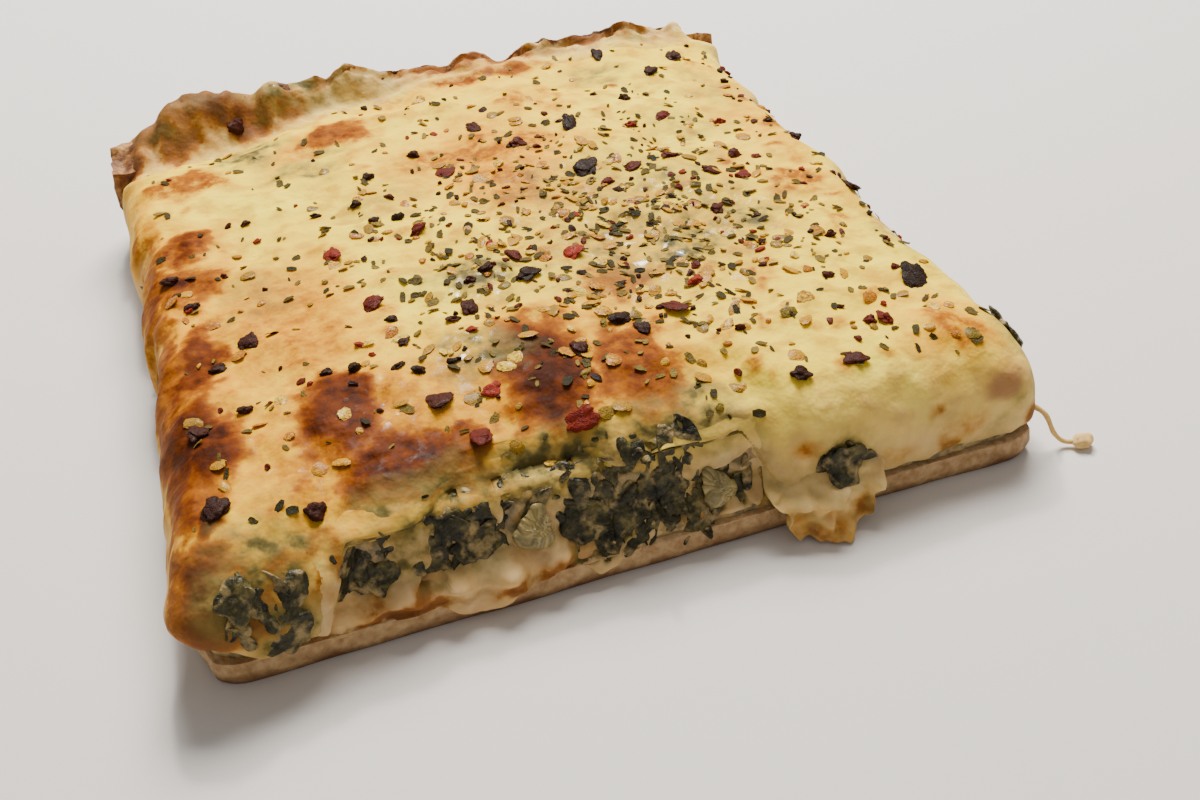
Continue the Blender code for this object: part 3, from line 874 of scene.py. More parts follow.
@dataclass(frozen=True)
class MeltedCheeseFinish:
    """Melted white cheese, pale to toasted brown, thin and green over the filling in places."""

    pale: tuple = linear(252, 222, 52)
    cream: tuple = linear(240, 194, 28)
    golden: tuple = linear(234, 160, 3)
    amber: tuple = linear(202, 132, 2)
    orange: tuple = linear(154, 86, 6)
    brown: tuple = linear(104, 46, 4)
    dark: tuple = linear(58, 22, 5)
    thin: tuple = linear(130, 112, 58)
    deep: tuple = linear(70, 64, 34)
    # Painted shade: the colours that the hanging sides are blended towards, a paler, greyer cream and a duller toasted
    # brown.
    shaded: tuple = linear(214, 182, 142)
    shaded_toast: tuple = linear(142, 100, 62)
    oil: tuple = linear(196, 152, 34)
    blush: tuple = linear(138, 84, 76)

    def material(self) -> bpy.types.Material:
        """The finish as a material that reads toast, golden, thin, wet, blush and side (painted shade) from the mesh.

        Returns:
            The material.
        """
        made, board, shader = blank_material("melted_cheese")
        toast, golden = board.value("toast"), board.value("golden")
        thin, wet = board.value("thin"), board.value("wet")
        broad = board.mottling(9 * MM, 0.35, 0.68, 3)
        speck = board.mottling(2.4 * MM, 0.30, 0.70, 4)
        fine = board.mottling(0.8 * MM, 0.25, 0.75, 3)
        base = board.blend(board.times(broad, 0.85), self.pale, self.cream)
        oil = board.times(board.mottling(4.5 * MM, 0.50, 0.64, 4), 0.6)
        base = board.blend(oil, base, self.oil)
        # Painted shade: where side is high, the base colour turns to the shaded cream and the golden tint weakens.
        side = board.value("side")
        base = board.blend(board.times(side, 0.72), base, self.shaded)
        tint = board.times(golden, board.fitted(speck, 0, 1, 0.6, 1.5), clamp=True)
        tint = board.times(tint, board.fitted(side, 0, 1, 1, 0.45))
        base = board.blend(tint, base, self.golden)
        mottled = board.plus(board.times(speck, 0.30), board.times(fine, 0.16))
        mottled = board.maths("SUBTRACT", mottled, 0.23)
        charred = board.plus(toast, board.times(mottled, board.fitted(toast, 0.05, 0.5, 0.2, 1)))
        browned = board.ramp(charred, ((0.0, self.golden), (0.25, self.amber), (0.48, self.orange),
                                       (0.74, self.brown), (1.0, self.dark)))
        # Painted shade: toasted colours on the hanging sides are dulled towards a shaded brown.
        browned = board.blend(board.times(side, 0.44), browned, self.shaded_toast)
        base = board.blend(board.fitted(charred, 0.06, 0.42), base, browned)
        veil = board.times(thin, board.fitted(board.mottling(2.8 * MM, 0.32, 0.68, 4), 0, 1, 0.3, 1.2),
                           clamp=True)
        green = board.blend(board.fitted(veil, 0.6, 1.1), self.thin, self.deep)
        base = board.blend(board.fitted(veil, 0.0, 0.8), base, green)
        base = board.blend(board.value("blush"), base, self.blush)
        rough = board.fitted(board.plus(fine, wet), 0.2, 1.8, 0.7, 0.45)
        ripple = board.plus(board.times(board.graining(1.6 * MM), 0.3),
                             board.times(board.mottling(4.5 * MM, 0.2, 0.8, 3), 0.8))
        oily = board.times(board.mottling(1.6 * MM, 0.54, 0.64, 3),
                           board.times(board.fitted(wet, 0, 2, 0.01, 0.9),
                                       board.fitted(toast, 0.1, 0.6, 1, 0.15)))
        wire(board, shader, Base_Color=base, Roughness=rough, Coat_Weight=oily,
             Normal=board.bump(ripple, 0.6 * MM))
        wire(board, shader, Coat_Roughness=0.15, Specular_IOR_Level=0.05, Subsurface_Weight=0.15,
             Subsurface_Scale=0.002, Subsurface_Radius=(1.0, 0.6, 0.25))
        return made


@dataclass(frozen=True)
class BakedDoughFinish:
    """Pizza dough: pale crumb where it is cut, browned at the bottom and over the rim."""

    crumb: tuple = linear(200, 164, 116)
    crumb_dark: tuple = linear(158, 120, 76)
    base: tuple = linear(112, 72, 34)
    rim: tuple = linear(122, 72, 24)
    rim_dark: tuple = linear(62, 30, 8)
    rim_pale: tuple = linear(176, 128, 54)

    def material(self) -> bpy.types.Material:
        """The finish as a material that reads rim from the mesh.

        Returns:
            The material.
        """
        made, board, shader = blank_material("baked_dough")
        low = board.fitted(board.height(), 0.0, 3.4 * MM, 1, 0)
        speck = board.mottling(1.3 * MM, 0.3, 0.7, 4)
        wide = board.mottling(7 * MM, 0.35, 0.65, 3)
        crumb = board.blend(speck, self.crumb, self.crumb_dark)
        toasted = board.fitted(board.plus(low, board.times(wide, 0.5)), 0.55, 1.2)
        crumb = board.blend(toasted, crumb, self.base)
        lump = board.plus(board.times(wide, 0.6), board.times(speck, 0.4))
        rim = board.ramp(lump, ((0.12, self.rim_pale), (0.42, self.rim), (0.85, self.rim_dark)))
        colour = board.blend(board.value("rim"), crumb, rim)
        height = board.plus(board.times(board.graining(1.1 * MM), 0.7),
                             board.times(board.mottling(0.5 * MM, 0.2, 0.8, 4), 0.4))
        wire(board, shader, Base_Color=colour, Roughness=board.fitted(speck, 0, 1, 0.62, 0.82),
             Normal=board.bump(height, 0.35 * MM))
        wire(board, shader, Subsurface_Weight=0.08, Subsurface_Scale=0.0015, Subsurface_Radius=(1.0, 0.6, 0.3))
        return made


@dataclass(frozen=True)
class CreamyFillingFinish:
    """Creamy sauce with green bits through it and toasted orange spots."""

    cream: tuple = linear(206, 168, 86)
    sauce: tuple = linear(166, 126, 58)
    green: tuple = linear(84, 72, 26)
    orange: tuple = linear(190, 112, 50)

    def material(self) -> bpy.types.Material:
        """The finish as a material that reads leafy and toast from the mesh.

        Returns:
            The material.
        """
        made, board, shader = blank_material("creamy_filling")
        wide = board.mottling(4 * MM, 0.35, 0.65, 4)
        speck = board.mottling(1.5 * MM, 0.40, 0.62, 3)
        base = board.blend(wide, self.cream, self.sauce)
        leafy = board.times(board.value("leafy"), board.fitted(speck, 0, 1, 0.35, 1.0))
        base = board.blend(leafy, base, self.green)
        spots = board.times(board.value("toast"), board.fitted(speck, 0, 1, 0.6, 1.0))
        base = board.blend(spots, base, self.orange)
        wire(board, shader, Base_Color=base, Roughness=board.fitted(wide, 0, 1, 0.28, 0.45),
             Normal=board.bump(board.graining(1.5 * MM), 0.4 * MM))
        wire(board, shader, Coat_Weight=0.25, Coat_Roughness=0.2, Subsurface_Weight=0.15,
             Subsurface_Scale=0.002, Subsurface_Radius=(1.0, 0.7, 0.3))
        return made


@dataclass(frozen=True)
class CookedSpinachFinish:
    """Wet cooked spinach, in soft random patches from nearly black to green, with a cream film in places."""

    deep: tuple = linear(22, 21, 11)
    leaf: tuple = linear(62, 57, 32)
    thin: tuple = linear(106, 94, 50)
    film: tuple = linear(166, 142, 92)

    def material(self) -> bpy.types.Material:
        """The finish as a material.

        Returns:
            The material.
        """
        made, board, shader = blank_material("cooked_spinach")
        wide = board.mottling(3.2 * MM, 0.32, 0.68, 3)
        fine = board.mottling(0.8 * MM, 0.3, 0.7, 4)
        shade = board.plus(board.times(wide, 0.7), board.times(fine, 0.3))
        colour = board.ramp(shade, ((0.1, self.deep), (0.6, self.leaf), (0.95, self.thin)))
        film = board.times(board.mottling(2.4 * MM, 0.52, 0.66, 4), 0.75)
        colour = board.blend(film, colour, self.film)
        height = board.plus(board.times(board.graining(1.2 * MM), 0.7),
                             board.times(fine, 0.4))
        wire(board, shader, Base_Color=colour, Roughness=board.fitted(fine, 0, 1, 0.3, 0.55),
             Normal=board.bump(height, 0.45 * MM))
        wire(board, shader, Coat_Weight=0.12, Coat_Roughness=0.15, Specular_IOR_Level=0.18)
        return made


@dataclass(frozen=True)
class ArtichokeFinish:
    """Cooked artichoke heart: pale olive flesh with fibres along it."""

    flesh: tuple = linear(174, 152, 92)
    fibre: tuple = linear(142, 122, 66)
    edge: tuple = linear(94, 84, 40)

    def material(self) -> bpy.types.Material:
        """The finish as a material that reads strand from the mesh.

        Returns:
            The material.
        """
        made, board, shader = blank_material("artichoke_heart")
        fibres = board.fitted(board.value("strand"), 0.3, 0.8)
        wide = board.mottling(2.4 * MM, 0.35, 0.65, 3)
        colour = board.blend(fibres, self.flesh, self.fibre)
        colour = board.blend(board.times(wide, 0.7), colour, self.edge)
        wire(board, shader, Base_Color=colour, Roughness=board.fitted(wide, 0, 1, 0.3, 0.48),
             Normal=board.bump(board.plus(fibres, board.graining(1 * MM)), 0.2 * MM))
        wire(board, shader, Coat_Weight=0.3, Coat_Roughness=0.2, Subsurface_Weight=0.12,
             Subsurface_Scale=0.0015, Subsurface_Radius=(0.8, 0.9, 0.3))
        return made


@dataclass(frozen=True)
class ToppingFinish:
    """A dried topping whose pieces differ in colour, by the tint that each piece keeps."""

    name: str
    stops: tuple
    roughness: tuple[float, float] = (0.5, 0.7)
    grain: float = 0.5 * MM
    shine: float = 0.0
    glow: float = 0.0

    def material(self) -> bpy.types.Material:
        """The finish as a material that reads tint from the mesh.

        Returns:
            The material.
        """
        made, board, shader = blank_material(self.name)
        speck = board.mottling(self.grain, 0.3, 0.7, 3)
        shade = board.plus(board.value("tint"), board.times(board.maths("SUBTRACT", speck, 0.5),
                                                                   0.25))
        wire(board, shader, Base_Color=board.ramp(shade, self.stops),
             Roughness=board.fitted(speck, 0, 1, *self.roughness),
             Normal=board.bump(board.graining(self.grain), 0.3 * MM))
        wire(board, shader, Coat_Weight=self.shine, Coat_Roughness=0.15, Specular_IOR_Level=0.12)
        if self.glow:
            wire(board, shader, Subsurface_Weight=self.glow, Subsurface_Scale=0.001,
                 Subsurface_Radius=(1.0, 0.6, 0.2))
        return made


CHILLI = ToppingFinish("dried_chilli", ((0.0, linear(34, 20, 10)), (0.35, linear(58, 24, 12)),
                                        (0.7, linear(96, 28, 16)), (1.0, linear(146, 42, 20))),
                       roughness=(0.55, 0.8), shine=0.02)
SEED = ToppingFinish("chilli_seed", ((0.0, linear(106, 90, 20)), (0.35, linear(172, 120, 10)),
                                     (0.6, linear(194, 140, 12)), (0.8, linear(152, 78, 10)),
                                     (1.0, linear(226, 190, 50))),
                     roughness=(0.35, 0.5), shine=0.12, glow=0.15)
HERB = ToppingFinish("dried_oregano", ((0.0, linear(34, 32, 14)), (0.5, linear(78, 66, 26)),
                                       (1.0, linear(132, 108, 44))), roughness=(0.55, 0.8))


# ---------------------------------------------------------------- where the cheese is toasted


Patch = tuple[float, float, float, float, float, float]


@dataclass(frozen=True)
class PatchMap:
    """Soft ragged patches: centre, half width, half depth (mm), turn (degrees) and strength."""

    patches: tuple[Patch, ...]
    edge: float = 0.6
    warp: float = 3.6 * MM

    def strength(self, across: np.ndarray, along: np.ndarray, ragged: np.ndarray) -> np.ndarray:
        """How strong the patches are at each place.

        Args:
            across: First coordinate of every place.
            along: Second coordinate of every place.
            ragged: Two columns of noise that shift the places.

        Returns:
            The strongest patch's value at each place.
        """
        x = (across + ragged[:, 0] * self.warp) / MM
        y = (along + ragged[:, 1] * self.warp) / MM
        total = np.zeros(len(x))
        for at_x, at_y, half_x, half_y, turn, strength in self.patches:
            cos, sin = math.cos(math.radians(turn)), math.sin(math.radians(turn))
            right = ((x - at_x) * cos + (y - at_y) * sin) / half_x
            ahead = ((y - at_y) * cos - (x - at_x) * sin) / half_y
            total = np.maximum(total, strength * smooth_all((1 + self.edge - np.hypot(right, ahead)) / (2 * self.edge)))
        return total


def freckles(count: int = 90, seed: int = 17) -> tuple[Patch, ...]:
    """Small golden freckles all over the cheese."""
    draw = random.Random(seed)
    return tuple((draw.uniform(-58, 60), draw.uniform(-62, 58), draw.uniform(0.8, 2.4), draw.uniform(0.8, 2.0),
                  0, draw.uniform(0.22, 0.42)) for _ in range(count))


# On the cheese from above, across and along
FRECKLES = PatchMap(freckles(), edge=0.7, warp=1.6 * MM)
TOAST = PatchMap((
    (-54, 15, 5.5, 5.5, 0, 0.75), (-55, 3, 6.5, 7.5, 0, 0.62), (-57, 4, 2.5, 3, 0, 0.95),
    (-55.5, -19.5, 4.2, 9.5, -22, 0.8), (-58, -40, 7, 11, 0, 0.95), (-61, 5, 3, 22, 0, 0.7),
    (-62, -22, 3, 30, 0, 0.72), (-43, -54, 7, 5, 0, 0.36), (-41, -12, 6, 8, 0, 0.24),
    (-20, -40, 5, 4, 0, 0.3), (-60, -52, 4, 4, 0, 0.7),
    (-57, -55, 2, 2, 0, 1.0), (-38, -42, 6.5, 9.5, 0, 0.85), (-31, -54, 11, 6, 0, 0.9),
    (-21, -50, 4, 4, 0, 0.7), (-8, -44, 7, 13, 0, 0.95), (-9, -47, 3.5, 5, 0, 1.1),
    (5, -46, 7, 12, 0, 0.65), (10, -26, 6, 5.5, 0, 0.5), (-38, -18, 4.5, 13, 0, 0.3),
    (0, 26, 17, 6, 0, 0.4), (3, 10, 6, 10, 0, 0.38), (13, 42, 3, 5, 0, 0.38),
    (21, 42, 2, 10, 0, 0.3), (-22, 44, 9.5, 4.5, 20, 0.6), (-51, 38, 7, 5.5, 0, 0.5),
    (12, 59, 12, 2.5, 0, 0.6), (50, -8, 5.5, 4.5, 0, 0.45), (55, 15, 4, 4, 0, 0.4),
    (54, 2, 3, 3, 0, 0.3), (53, -56, 4, 5, 0, 0.4), (51, -22, 3, 3, 0, 0.3),
    (30, -45, 2, 2, 0, 0.3), (26, -45, 1.6, 2, 0, 0.3), (36, -50, 2, 2, 0, 0.3),
    (34, -33, 2, 2, 0, 0.28), (-60, -62, 6, 5, 0, 0.8), (-46, -63, 3, 3, 0, 0.45),
    (21, -55, 2, 2, 0, 0.4), (-34, -46, 22, 15, 0, 0.29), (-41, -18, 12, 19, 0, 0.31),
))
GOLDEN = PatchMap((
    (-55, 8, 11, 16, 0, 0.55), (-52, -28, 14, 22, 0, 0.6), (-35, -46, 20, 16, 0, 0.9),
    (-2, -42, 20, 18, 0, 0.6), (2, 22, 20, 20, 0, 0.55), (-38, -18, 10, 18, 0, 0.85),
    (15, 42, 12, 12, 0, 0.4), (50, -5, 12, 18, 0, 0.35), (20, -15, 24, 18, 0, 0.3),
    (-57, -20, 8, 46, 0, 1.0), (-40, -58, 24, 8, 0, 0.7), (0, 57, 40, 6, 0, 0.45),
    (-42, -13, 11, 13, 0, 0.95), (-61, 0, 4, 56, 0, 1.0), (4, 18, 12, 20, 10, 0.95),
    (-30, -48, 22, 9, 0, 0.9), (-48, -20, 12, 22, 0, 0.7), (2, -40, 14, 14, 0, 0.8),
    (-25, 44, 12, 5, 20, 0.7), (54, 20, 6, 30, 0, 0.6), (16, -14, 16, 10, 0, 0.5), (52, -54, 8, 10, 0, 0.6),
), edge=0.8, warp=5 * MM)
THIN = PatchMap((
    (-39, 46, 6, 5, 0, 0.9), (-30, 34, 7, 4, 0, 0.65), (-10, -16, 7, 6, 0, 0.95),
    (-16, -37, 6, 5, 0, 0.85), (20, -15, 19, 14, 0, 0.62), (35, -15, 6, 5, 0, 0.85),
    (25, -20, 7, 5, 0, 0.85), (32, 50, 6, 5, 0, 0.75), (-25, 60, 6, 3, 0, 0.8),
    (-15, -59, 12, 5, 0, 0.9), (-52, -60, 6, 5, 0, 0.6), (-7, -61, 9, 3, 0, 1.1), (-28, -62, 8, 3, 0, 1.0),
    (12, -12, 8, 5, 30, 0.75), (30, 2, 9, 5, 0, 0.6), (-50, -63, 5, 3, 0, 0.9), (-13, -16, 3, 4, 0, 1.1),
    (-42, 47, 4, 3, 0, 1.1), (24, -22, 4, 3, 0, 1.0), (52, 36, 5, 12, 0, 0.45), (58, -30, 3, 8, 0, 0.5),
    (15, 5, 14, 9, 0, 0.5),
    (-20, 14, 7, 5, 30, 0.4), (40, 20, 8, 6, 0, 0.45), (-44, -6, 5, 8, 0, 0.4), (8, -58, 10, 4, 0, 0.8),
), edge=0.7, warp=4 * MM)
WET = PatchMap((
    (20, -15, 20, 16, 0, 1.0), (-16, -38, 6, 6, 0, 0.9), (-12, -17, 7, 6, 0, 0.9),
    (5, 8, 10, 12, 0, 0.5), (40, 5, 14, 14, 0, 0.5), (-35, -50, 14, 10, 0, 0.5),
), edge=0.8, warp=4 * MM)
# On the cheese's front side, across and up
FRONT_THIN = PatchMap((
    (56, 8, 4, 2, 0, 0.35), (45, 11.5, 3, 1.5, 0, 0.2), (34, 11.5, 6, 2, 0, 0.25), (50, 6, 3, 1.5, 0, 0.3),
    (21, 9, 3, 3, 0, 0.4), (-54, 15.5, 3, 1.6, 0, 0.7), (61, 12, 3, 3, 0, 0.5),
), edge=0.8, warp=1.5 * MM)
FRONT_TOAST = PatchMap((
    (-59, 14, 7, 4.5, 0, 0.85), (-53, 12, 4, 3, 0, 0.5), (-46, 12, 2.5, 3, 0, 0.45), (-57, 8.6, 3, 2, 0, 0.3),
    (-60, 17, 3, 2.5, 0, 1.0), (-50, 16.5, 3, 2, 0, 0.4), (24, 13, 2.5, 1.5, 0, 0.35), (45, 13, 1.5, 1.2, 0, 0.4),
    (47, 7, 1.6, 1.6, 0, 0.5), (61.4, 7.4, 1.8, 1.8, 0, 0.7), (38, 8, 3, 2, 0, 0.25),
    (50, 10, 4, 2.5, 0, 0.25),
), edge=0.7, warp=1.2 * MM)
BLUSH = PatchMap(((56.5, 14.5, 3.2, 2.0, 20, 0.7),), edge=0.5, warp=1 * MM)
TONGUE_TOAST = PatchMap(((24, 1.5, 5, 1.6, 0, 0.36), (31, 3, 2.5, 1.6, 0, 0.4), (21, 4, 2, 1.5, 0, 0.25)),
                        edge=0.8, warp=1.2 * MM)
# On the cheese that laps over the rim, across and along
RIM_TOAST = PatchMap((
    (-52, 57, 13, 9, 0, 0.36), (-56, 60, 5, 4, 0, 0.85), (-45, 61, 7, 5, 0, 0.9),
    (-51, 53, 5, 3, 20, 0.75), (-37, 57, 5, 5, 0, 0.75),
    (-61, 52, 3, 9, 0, 0.85), (-54, 56, 2, 1.6, 0, 1.1), (-41, 58, 2.2, 1.8, 0, 1.15), (-29, 59, 3, 2.6, 0, 0.6),
    (-22, 64, 8, 2, 0, 0.55), (12, 63.5, 16, 2.2, 0, 0.6), (38, 64, 12, 1.8, 0, 0.7), (-5, 64.5, 8, 1.6, 0, 0.5),
    (52, 60, 5, 3, 0, 0.4), (-50, 65, 14, 2, 0, 0.8),
), edge=0.6, warp=2 * MM)
RIM_GREEN = PatchMap((
    (-28, 62, 10, 4, 0, 0.85), (-51, 58, 9, 6, 0, 0.3), (-14, 61, 8, 4, 0, 0.65), (45, 60, 9, 4, 0, 0.45),
    (-35, 52, 6, 3, 0, 0.5),
    (28, 64, 5, 2, 0, 0.6), (-53.5, 55.5, 2.6, 2, 0, 0.8),
), edge=0.7, warp=3 * MM)


def wander(places: np.ndarray, size: float, seeds: tuple[float, float], fine_size: float = 0.0,
           fine_seeds: tuple[float, float] = (0, 0)) -> np.ndarray:
    """Two columns of noise that shift a patch map's places, so that its patches have ragged edges.

    Args:
        places: Points of a piece, one row each.
        size: Bump size of the noise.
        seeds: Where each column starts.
        fine_size: Bump size of the finer noise on top, or 0 for none.
        fine_seeds: Where the finer noise of each column starts.

    Returns:
        The two columns, one row for each point.
    """
    columns = [relief(places, size, seed) for seed in seeds]
    if fine_size:
        columns = [column + 0.5 * relief(places, fine_size, seed) for column, seed in zip(columns, fine_seeds)]
    return np.column_stack(columns)


def cheese_marks(places: np.ndarray) -> tuple[np.ndarray, dict[str, np.ndarray]]:
    """What the finish reads for cheese at the given places, as seen from above.

    Args:
        places: Points of a piece, one row each.

    Returns:
        Two columns of noise that shift the maps, and the toast, golden, thin and wet values.
    """
    ragged = wander(places, 6 * MM, (1.1, 8.2), 2.2 * MM, (5.1, 2.7))
    x, y, _ = places.T
    return ragged, {"toast": np.maximum(TOAST.strength(x, y, ragged), FRECKLES.strength(x, y, ragged)),
                    "golden": GOLDEN.strength(x, y, ragged), "thin": THIN.strength(x, y, ragged),
                    "wet": WET.strength(x, y, ragged)}


def finish_cheese(piece: bpy.types.Object, material: bpy.types.Material, *nodes: str,
                  **marks: np.ndarray | float) -> bpy.types.Object:
    """Keeps on a cheese piece what its finish reads, and dresses it.

    Args:
        piece: The piece, with its place in its mesh.
        material: The cheese's finish.
        nodes: CAD nodes that it replaces.
        marks: The toast, golden, thin, wet, blush and side (painted shade) values; what isn't given is 0.

    Returns:
        The piece.
    """
    for name in ("toast", "golden", "thin", "wet", "blush", "side"):
        paint(piece, name, np.broadcast_to(marks.get(name, 0.0), len(piece.data.vertices)))
    face_outwards(piece)
    return finish_piece(piece, material, "cheese", *nodes)


def green_halo(places: np.ndarray) -> np.ndarray:
    """How close each place lies to a spinach leaf on a cut, from 0 to 1.

    Args:
        places: Points of a piece, one row each.

    Returns:
        The closeness at each place.
    """
    halo = np.zeros(len(places))
    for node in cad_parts:
        if node.startswith("spinach_leaf"):
            low, high = (np.array(corner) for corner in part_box(node))
            reach = np.linalg.norm(high - low) / 2
            far = np.linalg.norm(places - (low + high) / 2, axis=1)
            halo = np.maximum(halo, np.clip(1.5 - far / reach, 0, 1))
    return halo


# ---------------------------------------------------------------- sub-assemblies


@dataclass
class CheeseBlanket:
    """The melted cheese over the filling, with its shoulders and hanging sides."""

    form: CutForm = FORM
    cells_across: int = 236
    steps: int = 6
    blister: float = 0.3 * MM
    rise: float = 0.5 * MM
    outer_loops: tuple = ((0.62, 0.06, 0.76, 0.07, 0.45, 0.08, 0.0), (0.29, 0.21, 0.50, 0.22, 0.15, 0.20, 0.1),
                          (0.06, 0.44, 0.26, 0.45, 0.06, 0.40, 0.3), (0.00, 0.74, 0.08, 0.75, 0.05, 0.60, 0.7),
                          (0.02, 1.00, 0.00, 1.00, 0.05, 0.75, 0.6))
    inner_loops: tuple = ((0, 0.84), (0.5, 0.92), (1, 1))

    @property
    def skin_steps(self) -> int:
        """How many rings the outer skin has."""
        return len(self.outer_loops) * self.steps

    def stations(self, u: float, v: float) -> list[Vector]:
        """The places of all loops below one point of the border, outer skin then inner.

        Args:
            u: Place across the unit square, -1 to 1.
            v: Place along it, -1 to 1.

        Returns:
            One place for each ring, from the shoulder on.
        """
        outer = [self.form.cheese_core(0.93 * u, 0.93 * v), self.form.cheese_core(u, v)]
        outer += [self.form.cheese_ring(*sizes)(u, v) for sizes in self.outer_loops]
        inner = [self.form.cheese_inside(*sizes)(u, v) for sizes in self.inner_loops]
        return spline(outer + [inner[0]], self.steps) + inner

    def build(self, material: bpy.types.Material) -> bpy.types.Object:
        """Models, paints and dresses the blanket.

        Args:
            material: Its finish.

        Returns:
            The finished piece.
        """
        stations = cache(self.stations)
        piece, square, rings = ringed_sheet(
            "cheese_blanket", self.cells_across, self.cells_across, self.skin_steps + len(self.inner_loops),
            self.form.cheese_core, lambda number, u, v: stations(u, v)[number - 1])
        down = rings / self.skin_steps
        window = np.array([self.form.front_window(u * self.form.half_w) for u in square[:, 0]])
        window *= (rings > 0) * smooth_all((-0.85 - square[:, 1]) / 0.1)
        places = coordinates(piece)
        ragged, marks = cheese_marks(places)
        x, y, z = places.T
        on_front = np.clip((-58 * MM - y) / (4 * MM), 0, 1) * (z < 19 * MM)
        toast = np.maximum(marks["toast"] * (1 - 0.65 * np.clip(down * 1.6 - 0.5, 0, 1)),
                           on_front * FRONT_TOAST.strength(x, z, ragged))
        lip = window * np.clip(down * 1.5 - 0.15, 0, 1)
        lip = np.maximum(lip, 0.4 * on_front * np.clip((9 * MM - z) / (4 * MM), 0, 1))
        thin = np.maximum(np.maximum(marks["thin"], lip), 0.95 * green_halo(places))
        thin = np.maximum(thin, on_front * FRONT_THIN.strength(x, z, ragged))
        corner = np.exp(-(np.hypot(x + self.form.half_w, y + self.form.half_d) / (13 * MM)) ** 2)
        olive = corner * np.clip((11 * MM - z) / (3 * MM), 0, 1)
        toast, thin = toast * (1 - 0.85 * olive), np.maximum(thin, 0.6 * olive)
        wet = marks["wet"]
        outside = (down <= 1).astype(float)
        bubbled = 1 - np.clip(cells(places, 3.1 * MM, 4.4) * 1.3, 0, 1)
        lumpy = relief(places, 2.4 * MM, 7.3)
        lift = self.rise * toast + self.blister * (toast * (bubbled - 0.3) + 0.45 * lumpy * (0.4 + wet))
        lift += 0.3 * MM * relief(places, 4.4 * MM, 3.3) + 0.55 * MM * relief(places, 8.5 * MM, 6.9)
        lift += 0.9 * MM * np.clip(down - 0.3, 0, 1) * relief(places, 5.5 * MM, 2.9)
        set_coordinates(piece, places + normals(piece) * (lift * outside)[:, None])
        # side paints shade on the hanging sides, growing further down them.
        return finish_cheese(piece, material, "cheese", toast=toast, thin=thin, wet=wet,
                             golden=np.maximum(marks["golden"], 0.3 * np.clip(down - 0.5, 0, 1)),
                             blush=on_front * BLUSH.strength(x, z, ragged),
                             side=np.clip(down * 1.5 - 0.25, 0, 1))


@dataclass
class CheeseTongue:
    """The tongue of cheese that runs down the front cut to the table."""

    form: CutForm = FORM
    middle: float = 27 * MM
    half_width: float = 7.6 * MM
    cells_across: int = 56

    def place(self, a: float, b: float, outer: bool) -> Vector:
        """A point of the tongue: a from edge to edge, b from its root to its tip.

        Args:
            a: Place across, -1 to 1.
            b: Place down, 0 to 1.
            outer: Whether the point is on the outside.

        Returns:
            The point, in metres.
        """
        length = 1 - 0.16 * a * a + 0.07 * waves(a * self.half_width, 0, 0, 3 * MM, 1.2)
        down = b * length
        width = self.half_width * mix(1.5, 0.9, smooth(down / 0.7)) * (1 - 0.35 * max(b - 0.7, 0) ** 2 / 0.09)
        z = mix(12.5 * MM, 0.1 * MM, down)
        forward = mix(-2.6, 2.9, smooth(down / 0.66)) + 2.4 * max(down - 0.66, 0) / 0.34
        forward -= 2.4 * a * a * (1 - smooth((down - 0.25) / 0.4))
        bulge = 1.1 * (1 - a * a) * math.sin(math.pi * min(down * 1.1, 1))
        thickness = 1.9 * (1 - 0.75 * a ** 4)
        y = -self.form.half_d - (forward + bulge - (0 if outer else thickness + 0.6 * bulge)) * MM
        x = self.middle + 2.2 * MM * (1 - 2 * down) + a * width + 0.5 * MM * waves(a, b, 0, 0.5, 3)
        x += 2.6 * MM * a * waves(0, b, 0, 0.24, 4 + math.copysign(1, a)) * smooth(down * 3)
        if outer:
            curd = 0.4 + 3.0 * waves(x, y, z, 3.8 * MM, 4.1) + 1.5 * waves(x, y, z, 1.8 * MM, 2.1)
            y -= MM * min(max(curd, -0.7), 2.2) * min(max((12 * MM - z) / (6 * MM), 0), 1)
        return Vector((x, y, z))

    def build(self, material: bpy.types.Material) -> bpy.types.Object:
        """Models, paints and dresses the tongue.

        Args:
            material: Its finish.

        Returns:
            The finished piece.
        """
        piece = two_sheets("cheese_tongue", self.cells_across, self.cells_across, self.place)
        places = coordinates(piece)
        ragged = wander(places, 3 * MM, (1.4, 6.2))
        x, _, z = places.T
        # side=1 paints the shaded colour over the whole tongue.
        return finish_cheese(piece, material, "cheese", toast=TONGUE_TOAST.strength(x, z, ragged),
                             golden=np.clip(0.6 - z / (14 * MM) + 0.5 * ragged[:, 0], 0, 1),
                             thin=np.clip(0.1 + 0.7 * relief(places, 3.4 * MM, 9.1), 0, 0.4), wet=1.8, side=1)


